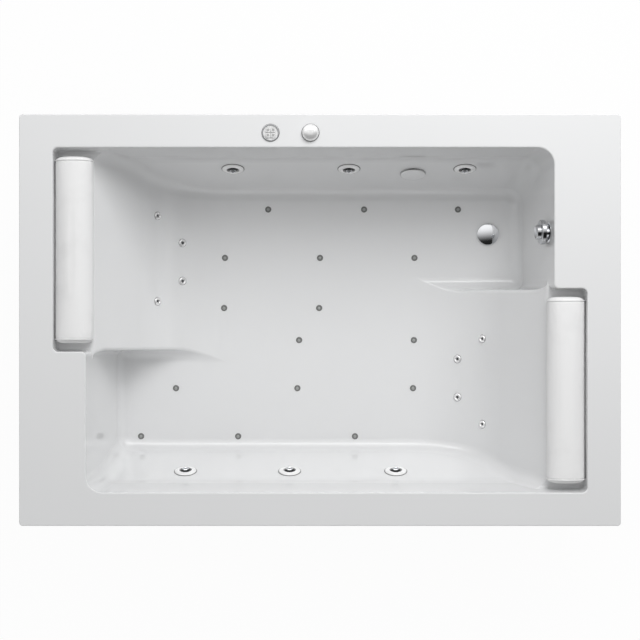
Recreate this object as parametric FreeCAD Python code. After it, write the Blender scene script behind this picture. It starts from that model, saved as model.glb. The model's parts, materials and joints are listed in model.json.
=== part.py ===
import FreeCAD, Part
import math
import os
from FreeCAD import Placement, Rotation, Vector

# Two-person built-in jetted bathtub.
# X runs along the tub, Y across it and Z up from the surface that the feet stand on.
# The basin is the same when the tub is turned half way round: each bather has a backrest
# with a head pillow at one end and a foot pocket at the other.

# ---------------------------------------------------------------- driving dimensions, mm

# Acrylic shell
tub_length = 1900.0
tub_width = 1300.0
rim_height = 600.0
floor_height = 150.0
wall = 6.0
lip_drop = 40.0
rim_corner_radius = 11.0
rim_edge_radius = 3.5

# Basin: long walls in two facets, steep above a soft crease and more sloped below it
long_rim_width = 105.0
upper_draft = 4.0
lower_draft = 18.0
crease_depth = 190.0
crease_radius = 260.0
floor_fillet = 45.0

# Basin: foot wall, step beside the backrest, and backrest
foot_rim_width = 210.0
foot_draft = 5.3
foot_corner_radius = 55.0
step_offset = 98.0
step_draft = 1.0
step_corner_radius = 30.0
step_edge_radius = 12.0
step_fade = 30.0
ledge_setback = 12.0
back_radius = 330.0
back_slope = 60.0

# Head recess in the rim and its pillow
recess_rim_width = 106.0
recess_depth = 70.0
recess_end = 100.0
recess_corner_radius = 17.0
recess_floor_fillet = 10.0
notch_radius = 15.0
ledge_edge_radius = 14.0
pillow_end_gap = 30.0
pillow_width = 121.0
pillow_height = 66.0
pillow_clearance = 0.4
pillow_seam_inset = 11.0
pillow_seam_pinch = 3.0
stud_radius = 8.0
stud_height = 12.0
stud_spacing = 360.0

# Water jets on the long walls; a share along the tub is of the way from its middle to a foot wall
jet_depth = 265.0
rear_jet_shares = (-0.3946, 0.1311, 0.6568)
front_jet_shares = (-0.6095, -0.1378, 0.3432)
jet_ring_radius = 36.5
jet_ring_height = 6.0
jet_sleeve_radius = 26.0
jet_sleeve_length = 28.0
jet_nut_radius = 35.0
jet_nut_height = 9.0
ball_radius = 20.0
ball_setback = 6.0
ball_clearance = 0.4
nozzle_radius = 9.0
nozzle_bore = 6.0
nozzle_reach = 13.0
jet_body_radius = 25.0
jet_body_length = 58.0

# Suction fitting on the rear wall
suction_share = 0.4243
suction_setdown = 35.0
suction_cover_radius = 42.5
suction_cover_height = 12.0
suction_bore = 27.0
suction_slots = 28
suction_body_length = 46.0

# Micro jets in the backrests: distance beyond the flat floor, and share of the basin's half width
back_jet_shares = ((237.0, 0.6532), (158.0, 0.4899), (158.0, 0.2477), (237.0, 0.1174))
back_jet_ring = 13.0
back_jet_ring_height = 3.0
back_jet_bore = 6.0
back_jet_sleeve = 9.0
back_jet_body = 13.0
back_jet_length = 32.5

# Air injectors in the floor: share of the basin's half width for each row, and shares along the tub
air_jet_shares = (
    (0.7083, (-0.2446, 0.2081, 0.6514)),
    (0.3982, (-0.4486, 0.0, 0.4459)),
    (0.0771, (-0.4527, -0.0041)),
    (-0.1284, (-0.0986, 0.4432)),
    (-0.4367, (-0.6797, -0.1068, 0.4392)),
    (-0.7450, (-0.8446, -0.3865, 0.1649)),
)
air_cap_radius = 8.0
air_cap_height = 2.5
air_stem_radius = 5.5
air_body_radius = 10.0
air_body_length = 44.0

# Waste: drain in the floor of the rear foot pocket and overflow on its foot wall
drain_setback = 154.0
drain_share = 0.5486
drain_flange_radius = 35.0
drain_flange_height = 3.0
drain_sleeve_radius = 26.0
drain_bore = 21.0
plug_radius = 37.5
plug_height = 9.0
plug_rest_gap = 0.4
plug_lift = 10.0
plug_stem = 4.0
trap_radius = 33.0
trap_length = 112.0
outlet_radius = 25.0
outlet_drop = 82.0
outlet_reach = 130.0
outlet_wall = 2.5
outlet_spigot = 40.0
overflow_share = 0.5174
overflow_depth = 75.0
overflow_flange_radius = 34.0
overflow_sleeve_radius = 22.0
overflow_standoff = 14.0
overflow_ring_radius = 40.0
overflow_ring_height = 14.0
overflow_cap_radius = 24.0
overflow_cap_height = 13.0
overflow_pipe_radius = 13.0

# Controls on the rear rim
control_inset = 59.0
keypad_x = -156.0
keypad_radius = 27.0
keypad_height = 5.0
keypad_body_radius = 21.0
keypad_body_depth = 34.0
button_size = 15.0
button_gap = 2.0
button_travel = 1.2
regulator_x = -30.0
regulator_base_radius = 26.5
regulator_base_height = 4.0
regulator_knob_radius = 23.0
regulator_knob_height = 14.0
regulator_body_radius = 14.0
regulator_body_depth = 50.0

# Steel frame
base_tube = 30.0
top_tube = 25.0
tube_wall = 2.0
frame_inset = 24.0
frame_end_inset = 43.0
outer_bay_share = 0.5541
inner_bay_share = 0.3108
mid_upright = 100.0
floor_board = 12.0
foot_pad_radius = 23.0
foot_pad_height = 8.0
foot_stem_radius = 5.0
foot_nut_radius = 9.5
foot_nut_height = 8.0
side_foot_share = 0.4324
centre_foot_place = 130.0

# Plumbing runs
manifold_radius = 16.0
manifold_standoff = 42.0
manifold_drop = 85.0
trunk_inset = 100.0
trunk_rise = 51.0
suction_pipe_radius = 24.0
suction_drop_setback = 4.0
suction_run_rise = 22.0
air_line_radius = 7.0
air_line_depth = 175.0
air_row_radius = 7.0
air_row_drop = 56.0
air_header_radius = 12.0
air_header_inset = 250.0
back_hose_radius = 7.0
back_hose_standoff = 4.0

# Pump under the front backrest
pump_inset = 210.0
pump_axis_rise = 101.0
pump_front = -90.0
volute_radius = 84.0
volute_width = 56.0
pump_port_radius = 32.0
pump_port_length = 30.0
motor_radius = 60.0
motor_length = 230.0
motor_ribs = 24
discharge_offset = 50.0
discharge_length = 20.0
cradle_half_width = 75.0
cradle_overhang = 80.0

# Air blower under the rear backrest
blower_inset = 260.0
blower_y = 300.0
blower_radius = 84.0
blower_height = 84.0
blower_motor_radius = 52.0
blower_motor_height = 80.0
blower_pipe_radius = 16.0
blower_loop_inset = 184.0
blower_loop_depth = 120.0

# Control box at the front foot end
box_depth = 92.0
box_length = 250.0
box_height = 200.0
box_setdown = 200.0
box_corner = 8.0
plate_thickness = 4.0
gland_bore = 5.0
gland_depth = 24.0

# Clearances
hole_clearance = 0.5
moving_clearance = 0.4
seat_gap = 0.05

# ---------------------------------------------------------------- angles in degrees

def tan(angle):
    return math.tan(math.radians(angle))


def sin(angle):
    return math.sin(math.radians(angle))


def cos(angle):
    return math.cos(math.radians(angle))


# ---------------------------------------------------------------- derived levels and planes

basin_depth = rim_height - floor_height
floor_z = floor_height
under_floor = floor_z - wall
frame_top = under_floor - floor_board
frame_bottom = frame_top - base_tube
ledge_z = rim_height - recess_depth
under_rim = rim_height - wall
sky = rim_height + 40.0
half_length = tub_length / 2
half_width = tub_width / 2
open_half_width = half_width - long_rim_width
foot_x = half_length - foot_rim_width
recess_x = half_length - recess_rim_width
beyond = tub_length

# The backrest starts under the front edge of the ledge and ends where the flat floor begins
slope_rise = ledge_z - floor_z - back_radius * (1 - cos(back_slope))
flat_half_length = foot_x - ledge_setback - slope_rise / tan(back_slope) - back_radius * sin(back_slope)
pillow_length = recess_end + open_half_width - 2 * pillow_end_gap


def along(share):
    return share * foot_x


def over(share):
    return share * open_half_width


# Fittings
rear_jet_places = [along(share) for share in rear_jet_shares]
front_jet_places = [along(share) for share in front_jet_shares]
suction_place = along(suction_share)
back_jet_places = [(flat_half_length + up, over(share)) for up, share in back_jet_shares]
air_jet_rows = [(over(row), [along(share) for share in shares]) for row, shares in air_jet_shares]
drain_x = foot_x - drain_setback
drain_y = over(drain_share)
trap_bottom = under_floor - trap_length
outlet_height = under_floor - outlet_drop
overflow_y = over(overflow_share)
control_line = half_width - control_inset

# Frame
frame_line = half_width - frame_inset
frame_end = half_length - frame_end_inset
outer_bay = along(outer_bay_share)
inner_bay = along(inner_bay_share)
side_foot_place = along(side_foot_share)

# Machines and pipe runs
pump_x = half_length - pump_inset
pump_axis_height = under_floor + pump_axis_rise
blower_x = half_length - blower_inset
blower_loop_x = half_length - blower_loop_inset
blower_loop_height = rim_height - blower_loop_depth
box_middle = -half_width / 2
box_bottom = rim_height - box_setdown - box_height
manifold_line = open_half_width + manifold_standoff
manifold_height = rim_height - jet_depth - manifold_drop
trunk_x = half_length - trunk_inset
trunk_height = pump_axis_height + volute_radius + discharge_length + trunk_rise
suction_drop_line = open_half_width - suction_drop_setback
suction_run_height = floor_z + suction_run_rise
air_line_height = rim_height - air_line_depth
air_row_height = under_floor - air_row_drop
air_header_x = half_length - air_header_inset
jet_inlet_drop = jet_body_radius + 10


# ---------------------------------------------------------------- small helpers

def line(start, end):
    return Part.LineSegment(start, end).toShape()


def arc(start, middle, end):
    return Part.Arc(start, middle, end).toShape()


def block(x, y, z):
    """A box from pairs of limits."""
    size = (x[1] - x[0], y[1] - y[0], z[1] - z[0])
    return Part.makeBox(*size, Vector(x[0], y[0], z[0]))


def half_turned(shape):
    """The same shape at the opposite side of the tub."""
    return shape.rotated(Vector(0, 0, 0), Vector(0, 0, 1), 180)


def turned(profile):
    """A solid turned about Z from (radius, height) corners."""
    corners = [Vector(radius, 0, height) for radius, height in profile]
    face = Part.Face(Part.makePolygon(corners + corners[:1]))
    return face.revolve(Vector(0, 0, 0), Vector(0, 0, 1), 360)


def seated(shape, place, inward):
    """A fitting built on Z = 0 with its visible side up, set on a wall of the basin."""
    copy = shape.copy()
    copy.Placement = Placement(place, Rotation(Vector(0, 0, 1), inward))
    return copy


def rod(start, end, radius):
    return Part.makeCylinder(radius, start.distanceToPoint(end), start, end - start)


def pipe(points, radius, bend):
    """A round pipe along straight runs joined by tangent arcs."""
    edges = []
    last = points[0]
    for before, corner, after in zip(points, points[1:], points[2:]):
        back = (before - corner).normalize()
        ahead = (after - corner).normalize()
        half = back.getAngle(ahead) / 2
        reach = bend / math.tan(half)
        centre = corner + (back + ahead).normalize() * (bend / math.sin(half))
        middle = centre + (corner - centre).normalize() * bend
        edges.append(line(last, corner + back * reach))
        edges.append(arc(corner + back * reach, middle, corner + ahead * reach))
        last = corner + ahead * reach
    edges.append(line(last, points[-1]))
    section = Part.Wire(Part.makeCircle(radius, points[0], points[1] - points[0]))
    return Part.Wire(edges).makePipeShell([section], True, False)


def joined(shapes):
    """One solid out of pieces that meet."""
    return shapes[0].fuse(shapes[1:]).removeSplitter().Solids[0]


def picked(shape, test):
    return [edge for edge in shape.Edges if test(edge.BoundBox)]


# ---------------------------------------------------------------- basin form

def long_wall_line(grow):
    """Corners and crease arc of a long wall in the Y-Z plane, moved out by grow."""
    blend = crease_radius * tan((lower_draft - upper_draft) / 2)
    crease_y = open_half_width - crease_depth * tan(upper_draft)
    start_y = crease_y + blend * sin(upper_draft)
    start_z = rim_height - crease_depth + blend * cos(upper_draft)
    centre_y = start_y - crease_radius * cos(upper_draft)
    centre_z = start_z + crease_radius * sin(upper_draft)
    radius = crease_radius + grow

    def on_arc(angle):
        return centre_y + radius * cos(angle), centre_z - radius * sin(angle)

    start = on_arc(upper_draft)
    middle = on_arc((upper_draft + lower_draft) / 2)
    end = on_arc(lower_draft)
    top = (start[0] + (sky - start[1]) * tan(upper_draft), sky)
    foot = (end[0] - (end[1] - floor_z + grow) * tan(lower_draft), floor_z - grow)
    return top, start, middle, end, foot


def long_wall_y(depth):
    """Inner face of the sloped lower facet at a depth under the rim."""
    crease_y = open_half_width - crease_depth * tan(upper_draft)
    return crease_y - (depth - crease_depth) * tan(lower_draft)


def foot_wall_x(height, grow):
    return foot_x - (rim_height - height) * tan(foot_draft) + grow / cos(foot_draft)


def across(point):
    """A Y-Z point in space at the far end of the tub."""
    return Vector(-beyond, point[0], point[1])


def mirrored(point):
    return -point[0], point[1]


def trough(grow):
    """The long middle of the basin: both long walls, the flat floor and both backrests."""
    top, start, middle, end, foot = long_wall_line(grow)
    edges = [
        line(across(top), across(start)),
        arc(across(start), across(middle), across(end)),
        line(across(end), across(foot)),
        line(across(foot), across(mirrored(foot))),
        line(across(mirrored(foot)), across(mirrored(end))),
        arc(across(mirrored(end)), across(mirrored(middle)), across(mirrored(start))),
        line(across(mirrored(start)), across(mirrored(top))),
        line(across(mirrored(top)), across(top)),
    ]
    cross_form = Part.Face(Part.Wire(edges)).extrude(Vector(2 * beyond, 0, 0))

    # Side view: flat floor, large blend, straight backrest, rounded edge, ledge
    radius = back_radius + grow
    centre_z = floor_z + back_radius
    blend_middle = (flat_half_length + radius * sin(back_slope / 2), centre_z - radius * cos(back_slope / 2))
    blend_end = (flat_half_length + radius * sin(back_slope), centre_z - radius * cos(back_slope))
    ledge = ledge_z - grow
    edge_radius = ledge_edge_radius - grow
    corner_x = blend_end[0] + (ledge - blend_end[1]) / tan(back_slope)
    reach = edge_radius * tan(back_slope / 2)
    edge_start = (corner_x - reach * cos(back_slope), ledge - reach * sin(back_slope))
    edge_end = (corner_x + reach, ledge)
    edge_middle = (edge_end[0] - edge_radius * sin(back_slope / 2),
                   ledge - edge_radius * (1 - cos(back_slope / 2)))

    def side(point):
        return Vector(point[0], -beyond, point[1])

    flat = (flat_half_length, floor_z - grow)
    outer = (beyond, ledge)
    high = (beyond, sky)
    edges = [line(side(mirrored(flat)), side(flat))]
    for turn in (lambda point: point, mirrored):
        edges.append(arc(side(turn(flat)), side(turn(blend_middle)), side(turn(blend_end))))
        edges.append(line(side(turn(blend_end)), side(turn(edge_start))))
        edges.append(arc(side(turn(edge_start)), side(turn(edge_middle)), side(turn(edge_end))))
        edges.append(line(side(turn(edge_end)), side(turn(outer))))
        edges.append(line(side(turn(outer)), side(turn(high))))
    edges.append(line(side(high), side(mirrored(high))))
    side_form = Part.Face(Part.Wire(Part.__sortEdges__(edges))).extrude(Vector(0, 2 * beyond, 0))

    # Both foot walls close the trough above the ledges
    low = floor_z - grow - wall
    corners = [Vector(foot_wall_x(low, grow), -beyond, low), Vector(foot_wall_x(sky, grow), -beyond, sky),
               Vector(-foot_wall_x(sky, grow), -beyond, sky), Vector(-foot_wall_x(low, grow), -beyond, low)]
    end_form = Part.Face(Part.makePolygon(corners + corners[:1])).extrude(Vector(0, 2 * beyond, 0))
    body = cross_form.common(side_form).common(end_form)

    def along_floor(box):
        one_side = box.YMin * box.YMax > 0
        on_wall = min(abs(box.YMin), abs(box.YMax)) > long_wall_y(basin_depth) - grow - 1
        crease_line = box.XLength > 2 * flat_half_length + 1
        return one_side and on_wall and box.ZMax < ledge + 1 and box.ZMin < ledge - 1 and not crease_line

    body = body.makeFillet(floor_fillet + grow, picked(body, along_floor))

    # The foot pockets make their own rounded corners, from the floor up to the rim
    reach = 1.5 * foot_corner_radius
    corner = block((foot_x - reach, beyond), (open_half_width - reach, beyond), (0, sky))
    return body.cut(corner).cut(half_turned(corner))


def foot_pocket(grow):
    """The deep end beside a backrest, down to the floor level."""
    top, start, middle, end, foot = long_wall_line(grow)

    def step_y(height):
        return step_offset + (ledge_z - height) * tan(step_draft) - grow / cos(step_draft)

    def at_middle(point):
        return Vector(0, point[0], point[1])

    low = floor_z - grow
    step_low = (step_y(low), low)
    step_high = (step_y(sky), sky)
    edges = [
        line(at_middle(top), at_middle(start)),
        arc(at_middle(start), at_middle(middle), at_middle(end)),
        line(at_middle(end), at_middle(foot)),
        line(at_middle(foot), at_middle(step_low)),
        line(at_middle(step_low), at_middle(step_high)),
        line(at_middle(step_high), at_middle(top)),
    ]
    cross_form = Part.Face(Part.Wire(edges)).extrude(Vector(beyond, 0, 0))
    corners = [Vector(0, -beyond, low), Vector(foot_wall_x(low, grow), -beyond, low),
               Vector(foot_wall_x(sky, grow), -beyond, sky), Vector(0, -beyond, sky)]
    side_form = Part.Face(Part.makePolygon(corners + corners[:1])).extrude(Vector(0, 2 * beyond, 0))
    body = cross_form.common(side_form)

    middle_y = (step_offset + open_half_width) / 2
    near_foot = foot_wall_x(low, grow) - 2 * wall

    def outer_corner(box):
        return box.XMin > near_foot and box.YMin > middle_y and box.ZLength > wall

    def step_corner(box):
        return box.XMin > near_foot and box.YMax < middle_y and box.ZLength > wall

    def round_floor(box):
        return box.ZMax < low + 1 and box.XMax > 1

    body = body.makeFillet(foot_corner_radius + grow, picked(body, outer_corner))
    body = body.makeFillet(step_corner_radius + grow, picked(body, step_corner))
    return body.makeFillet(floor_fillet + grow, picked(body, round_floor))


def head_recess(grow):
    """The pocket in the rim that holds a pillow above the backrest."""
    top, start, middle, end, foot = long_wall_line(grow)
    low = ledge_z - grow
    wall_low = start[0] + (low - start[1]) * tan(upper_draft)
    inside = foot_x - 2 * recess_rim_width
    corners = [Vector(inside, -top[0], sky), Vector(inside, -wall_low, low),
               Vector(inside, recess_end + grow, low), Vector(inside, recess_end + grow, sky)]
    face = Part.Face(Part.makePolygon(corners + corners[:1]))
    body = face.extrude(Vector(recess_x + grow - inside, 0, 0))
    body = body.makeFillet(recess_corner_radius + grow,
                           picked(body, lambda box: box.XMin > foot_x and box.ZLength > wall))
    return body.makeFillet(recess_floor_fillet + grow,
                           picked(body, lambda box: box.ZMax < low + 1 and box.XMax > foot_x))


def notch(grow):
    """Rounds the corner of the rim between a foot wall and the head recess beside it."""
    low = ledge_z - grow
    radius = notch_radius - grow
    x = foot_wall_x(low, grow)
    y = recess_end + grow
    middle = radius * (1 - math.sqrt(0.5))
    corners = [Vector(x, y + radius, low), Vector(x + radius, y, low)]
    edges = [
        arc(corners[0], Vector(x + middle, y + middle, low), corners[1]),
        line(corners[1], corners[1] - Vector(0, wall, 0)),
        line(corners[1] - Vector(0, wall, 0), Vector(x - wall, y - wall, low)),
        line(Vector(x - wall, y - wall, low), corners[0] - Vector(wall, 0, 0)),
        line(corners[0] - Vector(wall, 0, 0), corners[0]),
    ]
    rise = sky - low
    return Part.Face(Part.Wire(edges)).extrude(Vector(rise * tan(foot_draft), 0, rise))


def basin(grow):
    """The space inside the basin, or its outer form when it grows by the wall."""
    quarter = [foot_pocket(grow), head_recess(grow), notch(grow)]
    body = joined([trough(grow)] + quarter + [half_turned(shape) for shape in quarter])

    def step_edge(box):
        beside_step = abs((box.YMin + box.YMax) / 2) < step_offset + wall
        rising = box.ZLength > wall and box.ZMin > floor_z + floor_fillet - wall
        on_slope = box.XLength > box.ZLength / 4 and box.XLength > wall
        return beside_step and rising and on_slope and box.ZMax < ledge_z - 2 * step_edge_radius

    # The outer form keeps this edge sharp, which leaves wall enough behind the rounded one
    if grow > 0:
        return body
    rounded = body.makeFillet(step_edge_radius, picked(body, step_edge))

    # The rounding stops just before the tip, where the step fades into the floor
    reach = flat_half_length + step_fade
    middle = block((-reach, reach), (-beyond, beyond), (0, sky))
    return joined([rounded.cut(middle), body.common(middle)])


def shell():
    """Acrylic shell: rim with turned-down lip, basin wall and every fitting's hole."""
    slab = block((-half_length, half_length), (-half_width, half_width), (rim_height - lip_drop, rim_height))
    slab = slab.makeFillet(rim_corner_radius, picked(slab, lambda box: box.ZLength > wall))
    slab = slab.makeFillet(rim_edge_radius, picked(slab, lambda box: box.ZMin > rim_height - 1))
    inner_length = half_length - wall
    inner_width = half_width - wall
    under = block((-inner_length, inner_length), (-inner_width, inner_width), (0, under_rim))
    under = under.makeFillet(rim_corner_radius - wall, picked(under, lambda box: box.ZLength > wall))
    outer = basin(wall).common(block((-beyond, beyond), (-beyond, beyond), (0, rim_height)))
    body = slab.cut(under).fuse(outer).cut(basin(0.0)).removeSplitter()

    def rim_edge(box):
        at_top = box.ZMin > rim_height - 0.01
        inside = max(abs(box.XMin), abs(box.XMax)) < recess_x + 1 and box.YMax < open_half_width + 1
        return at_top and inside and box.YMin > -open_half_width - 1

    body = body.makeFillet(rim_edge_radius, picked(body, rim_edge))
    return body.cut(fitting_holes())


# ---------------------------------------------------------------- where the fittings sit

def long_wall_seats(places, depth, side):
    """Points and inward directions on the lower facet; side is 1 at the rear, -1 in front."""
    inward = Vector(0, -side * cos(lower_draft), sin(lower_draft))
    return [(Vector(x, side * long_wall_y(depth), rim_height - depth), inward) for x in places]


def jet_seats():
    return long_wall_seats(rear_jet_places, jet_depth, 1) + long_wall_seats(front_jet_places, jet_depth, -1)


def suction_seat():
    return long_wall_seats((suction_place,), jet_depth + suction_setdown, 1)[0]


def blend_seat(x, y):
    """Point and inward direction on the round foot of a backrest, or on the flat floor before it."""
    side = math.copysign(1, x)
    angle = math.asin(max(0, abs(x) - flat_half_length) / back_radius)
    height = floor_z + back_radius * (1 - math.cos(angle))
    return Vector(x, y, height), Vector(-side * math.sin(angle), 0, math.cos(angle))


def back_jet_seats():
    """Seats on the front backrest, then the same on the rear one."""
    return [blend_seat(side * x, -side * y) for side in (1, -1) for x, y in back_jet_places]


def stood_off(seats, radius):
    """A flat fitting on the round foot of a backrest stands off by the sag of the wall under it."""
    sag = radius ** 2 / (2 * back_radius) + seat_gap
    return [(place + inward * sag if inward.x else place, inward) for place, inward in seats]


def overflow_seat():
    height = rim_height - overflow_depth
    return Vector(foot_wall_x(height, 0.0), overflow_y, height), Vector(-cos(foot_draft), 0, sin(foot_draft))


def air_seats():
    seats = []
    for y, places in air_jet_rows:
        for x in places:
            if math.copysign(1, x) * y < step_offset:
                seats.append(blend_seat(x, y))
            else:
                seats.append((Vector(x, y, floor_z), Vector(0, 0, 1)))
    return seats


def drill(radius):
    """A drill through the wall, for a fitting seated on its inner face."""
    return turned([(0, -2 * wall), (radius, -2 * wall), (radius, wall), (0, wall)])


def fitting_holes():
    holes = [seated(drill(jet_sleeve_radius + hole_clearance), *seat) for seat in jet_seats()]
    holes.append(seated(drill(suction_bore + hole_clearance), *suction_seat()))
    holes += [seated(drill(back_jet_sleeve + hole_clearance), *seat) for seat in back_jet_seats()]
    holes += [seated(drill(air_stem_radius + hole_clearance), *seat) for seat in air_seats()]
    holes.append(seated(drill(overflow_sleeve_radius + hole_clearance), *overflow_seat()))
    up = Vector(0, 0, 1)
    holes.append(seated(drill(drain_sleeve_radius + hole_clearance), Vector(drain_x, drain_y, floor_z), up))
    for x, radius in ((keypad_x, keypad_body_radius), (regulator_x, regulator_body_radius)):
        holes.append(seated(drill(radius + hole_clearance), Vector(x, control_line, rim_height), up))
    return Part.makeCompound(holes)


# ---------------------------------------------------------------- water jets

def jet_ring():
    """Domed escutcheon with the threaded sleeve that passes the wall."""
    lip = math.sqrt(ball_radius ** 2 - (ball_setback + jet_ring_height - 2) ** 2) + ball_clearance
    return turned([
        (lip, jet_ring_height - 2), (lip, jet_ring_height), (lip + 6, jet_ring_height + 0.5),
        (jet_ring_radius - 1.5, 2.5), (jet_ring_radius, 1), (jet_ring_radius, 0), (jet_sleeve_radius, 0),
        (jet_sleeve_radius, -jet_sleeve_length), (ball_radius + ball_clearance, -jet_sleeve_length),
        (ball_radius + ball_clearance, jet_ring_height - 2),
    ])


def jet_nozzle():
    """Swivelling eyeball with its outlet tube."""
    belt = ball_radius / 8
    shoulder = ball_radius * 0.6
    return turned([
        (nozzle_bore, -ball_setback - shoulder), (ball_radius * 0.75, -ball_setback - shoulder),
        (ball_radius - 0.3, -ball_setback - belt), (ball_radius - 0.3, -ball_setback + belt),
        (nozzle_radius + 3, -ball_setback + ball_radius * 0.7), (nozzle_radius, nozzle_reach),
        (nozzle_bore, nozzle_reach),
    ])


def jet_nut():
    return turned([
        (jet_sleeve_radius, -wall), (jet_nut_radius, -wall), (jet_nut_radius, -wall - jet_nut_height),
        (jet_sleeve_radius, -wall - jet_nut_height),
    ])


def jet_body(place, inward):
    """Mixing chamber behind the wall, with a water inlet below and an air inlet above."""
    length = jet_sleeve_length + jet_body_length
    chamber = seated(turned([
        (0, -jet_sleeve_length), (jet_body_radius, -jet_sleeve_length), (jet_body_radius, -length + 12),
        (jet_body_radius - 7, -length), (0, -length),
    ]), place, inward)
    return joined([chamber, water_inlet(place, inward), air_inlet(place, inward)])


def axis_point(place, inward, line_y):
    """The point of a fitting's axis that lies on a run at this distance from the middle."""
    return place - inward * ((line_y - abs(place.y)) / abs(inward.y))


def jet_air_line():
    return long_wall_y(jet_depth) + (jet_sleeve_length + jet_body_radius * 0.6) * cos(lower_draft)


def water_inlet(place, inward):
    start = axis_point(place, inward, manifold_line)
    return rod(start, Vector(start.x, start.y, start.z - jet_inlet_drop), manifold_radius * 0.7)


def air_inlet(place, inward):
    start = axis_point(place, inward, jet_air_line())
    return rod(start, Vector(start.x, start.y, start.z + jet_inlet_drop), air_line_radius * 0.8)


# ---------------------------------------------------------------- suction fitting

def suction_cover():
    """Low anti-entrapment cover with slots all round its edge."""
    top = suction_cover_height
    cover = turned([
        (0, top), (suction_cover_radius * 0.72, top), (suction_cover_radius, top * 0.45),
        (suction_cover_radius, 0), (suction_cover_radius - 3, 0), (suction_cover_radius - 3, top * 0.4),
        (suction_cover_radius * 0.7, top - 3), (0, top - 3),
    ])
    cutter = block((suction_cover_radius * 0.8, beyond), (-1.6, 1.6), (top * 0.12, top * 0.62))
    slots = []
    for index in range(suction_slots):
        slots.append(cutter.rotated(Vector(0, 0, 0), Vector(0, 0, 1), 360.0 * index / suction_slots))
    screw = turned([(0, top - 3), (3, top - 3), (3, top + 1), (0, top + 1)])
    return cover.cut(Part.makeCompound(slots)).fuse(screw)


def suction_body(place, inward):
    """Flanged chamber behind the wall, with a downward outlet."""
    length = wall + suction_body_length
    chamber = seated(turned([
        (0, -length + 4), (suction_bore - 4, -length + 4), (suction_bore - 4, 0), (suction_bore, 0),
        (suction_bore, -wall), (suction_cover_radius, -wall), (suction_cover_radius, -wall - 8),
        (suction_bore + 4, -wall - 8), (suction_bore + 4, -length), (0, -length),
    ]), place, inward)
    start = axis_point(place, inward, suction_drop_line)
    outlet = rod(start, Vector(start.x, start.y, start.z - suction_bore - 24), suction_pipe_radius - 1)
    return joined([chamber, outlet.cut(seated(turned([
        (0, -length + 2), (suction_bore, -length + 2), (suction_bore, 0), (0, 0)]), place, inward))])


# ---------------------------------------------------------------- micro jets and air injectors

def back_jet_cap():
    return turned([
        (back_jet_bore, 0), (back_jet_bore, back_jet_ring_height), (back_jet_bore + 3, back_jet_ring_height),
        (back_jet_ring, 1), (back_jet_ring, 0),
    ])


def back_jet_valve():
    """Sleeve through the wall and the body behind it."""
    return turned([
        (0, -wall - 8), (back_jet_bore, -wall - 8), (back_jet_bore, 0), (back_jet_sleeve, 0),
        (back_jet_sleeve, -wall), (back_jet_body, -wall), (back_jet_body, -back_jet_length),
        (0, -back_jet_length),
    ])


def air_cap():
    return turned([
        (0, 0), (air_cap_radius, 0), (air_cap_radius, 1), (air_cap_radius - 2, air_cap_height),
        (air_cap_radius - 4, air_cap_height), (air_cap_radius - 5, air_cap_height - 1), (0, air_cap_height - 1),
    ])


def air_valve():
    """Stem through the floor and the non-return valve below it."""
    return turned([
        (0, 0), (air_stem_radius, 0), (air_stem_radius, -wall), (air_body_radius, -wall),
        (air_body_radius, -air_body_length + 6), (air_stem_radius + 1, -air_body_length),
        (0, -air_body_length),
    ])


# ---------------------------------------------------------------- waste

def at_drain(shape):
    return shape.translated(Vector(drain_x, drain_y, floor_z))


def drain_flange():
    """Flange with the threaded sleeve and a cross that guides the plug."""
    ring = turned([
        (drain_bore, 0), (drain_bore, drain_flange_height), (drain_flange_radius - 3, drain_flange_height),
        (drain_flange_radius, 1), (drain_flange_radius, 0), (drain_sleeve_radius, 0),
        (drain_sleeve_radius, -wall - 14), (drain_bore, -wall - 14),
    ])
    low = -wall - 12
    bars = [block((-drain_bore - 1, drain_bore + 1), (-1.5, 1.5), (low, low + 3)),
            block((-1.5, 1.5), (-drain_bore - 1, drain_bore + 1), (low, low + 3))]
    guide = turned([(0, low), (plug_stem + 3, low), (plug_stem + 3, low + 5), (0, low + 5)])
    bore = turned([(0, low - 1), (plug_stem + moving_clearance, low - 1),
                   (plug_stem + moving_clearance, low + 6), (0, low + 6)])
    return at_drain(joined([ring, guide] + bars).cut(bore))


def drain_plug():
    """Domed cover on a guided stem."""
    low = drain_flange_height + plug_rest_gap
    stem_end = -wall - 15 - plug_lift
    return at_drain(turned([
        (0, low + plug_height), (plug_radius * 0.35, low + plug_height * 0.95),
        (plug_radius * 0.7, low + plug_height * 0.75), (plug_radius - 3, low + plug_height * 0.42),
        (plug_radius, low + 1.5), (plug_radius, low), (plug_stem, low), (plug_stem, stem_end), (0, stem_end),
    ]))


def trap():
    """Waste body under the floor with a bottle trap, its outlet and the overflow inlet."""
    bottom = trap_bottom - floor_z
    cup = turned([
        (drain_sleeve_radius, -wall), (drain_flange_radius + 1, -wall), (drain_flange_radius + 1, -wall - 7),
        (trap_radius, -wall - 9), (trap_radius, bottom + 8), (trap_radius - 8, bottom), (0, bottom),
        (0, bottom + 4), (trap_radius - 10, bottom + 4), (trap_radius - 4, bottom + 10),
        (trap_radius - 4, -wall - 15), (drain_sleeve_radius, -wall - 15),
    ])
    level = outlet_height - floor_z
    stop = outlet_reach - outlet_spigot
    hub = rod(Vector(trap_radius - 6, 0, level), Vector(stop, 0, level), outlet_radius + outlet_wall)
    spigot = rod(Vector(stop - 1, 0, level), Vector(outlet_reach, 0, level), outlet_radius)
    bore = rod(Vector(0, 0, level), Vector(outlet_reach + 1, 0, level), outlet_radius - outlet_wall)
    return at_drain(joined([cup, hub, spigot]).cut(bore))


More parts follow.
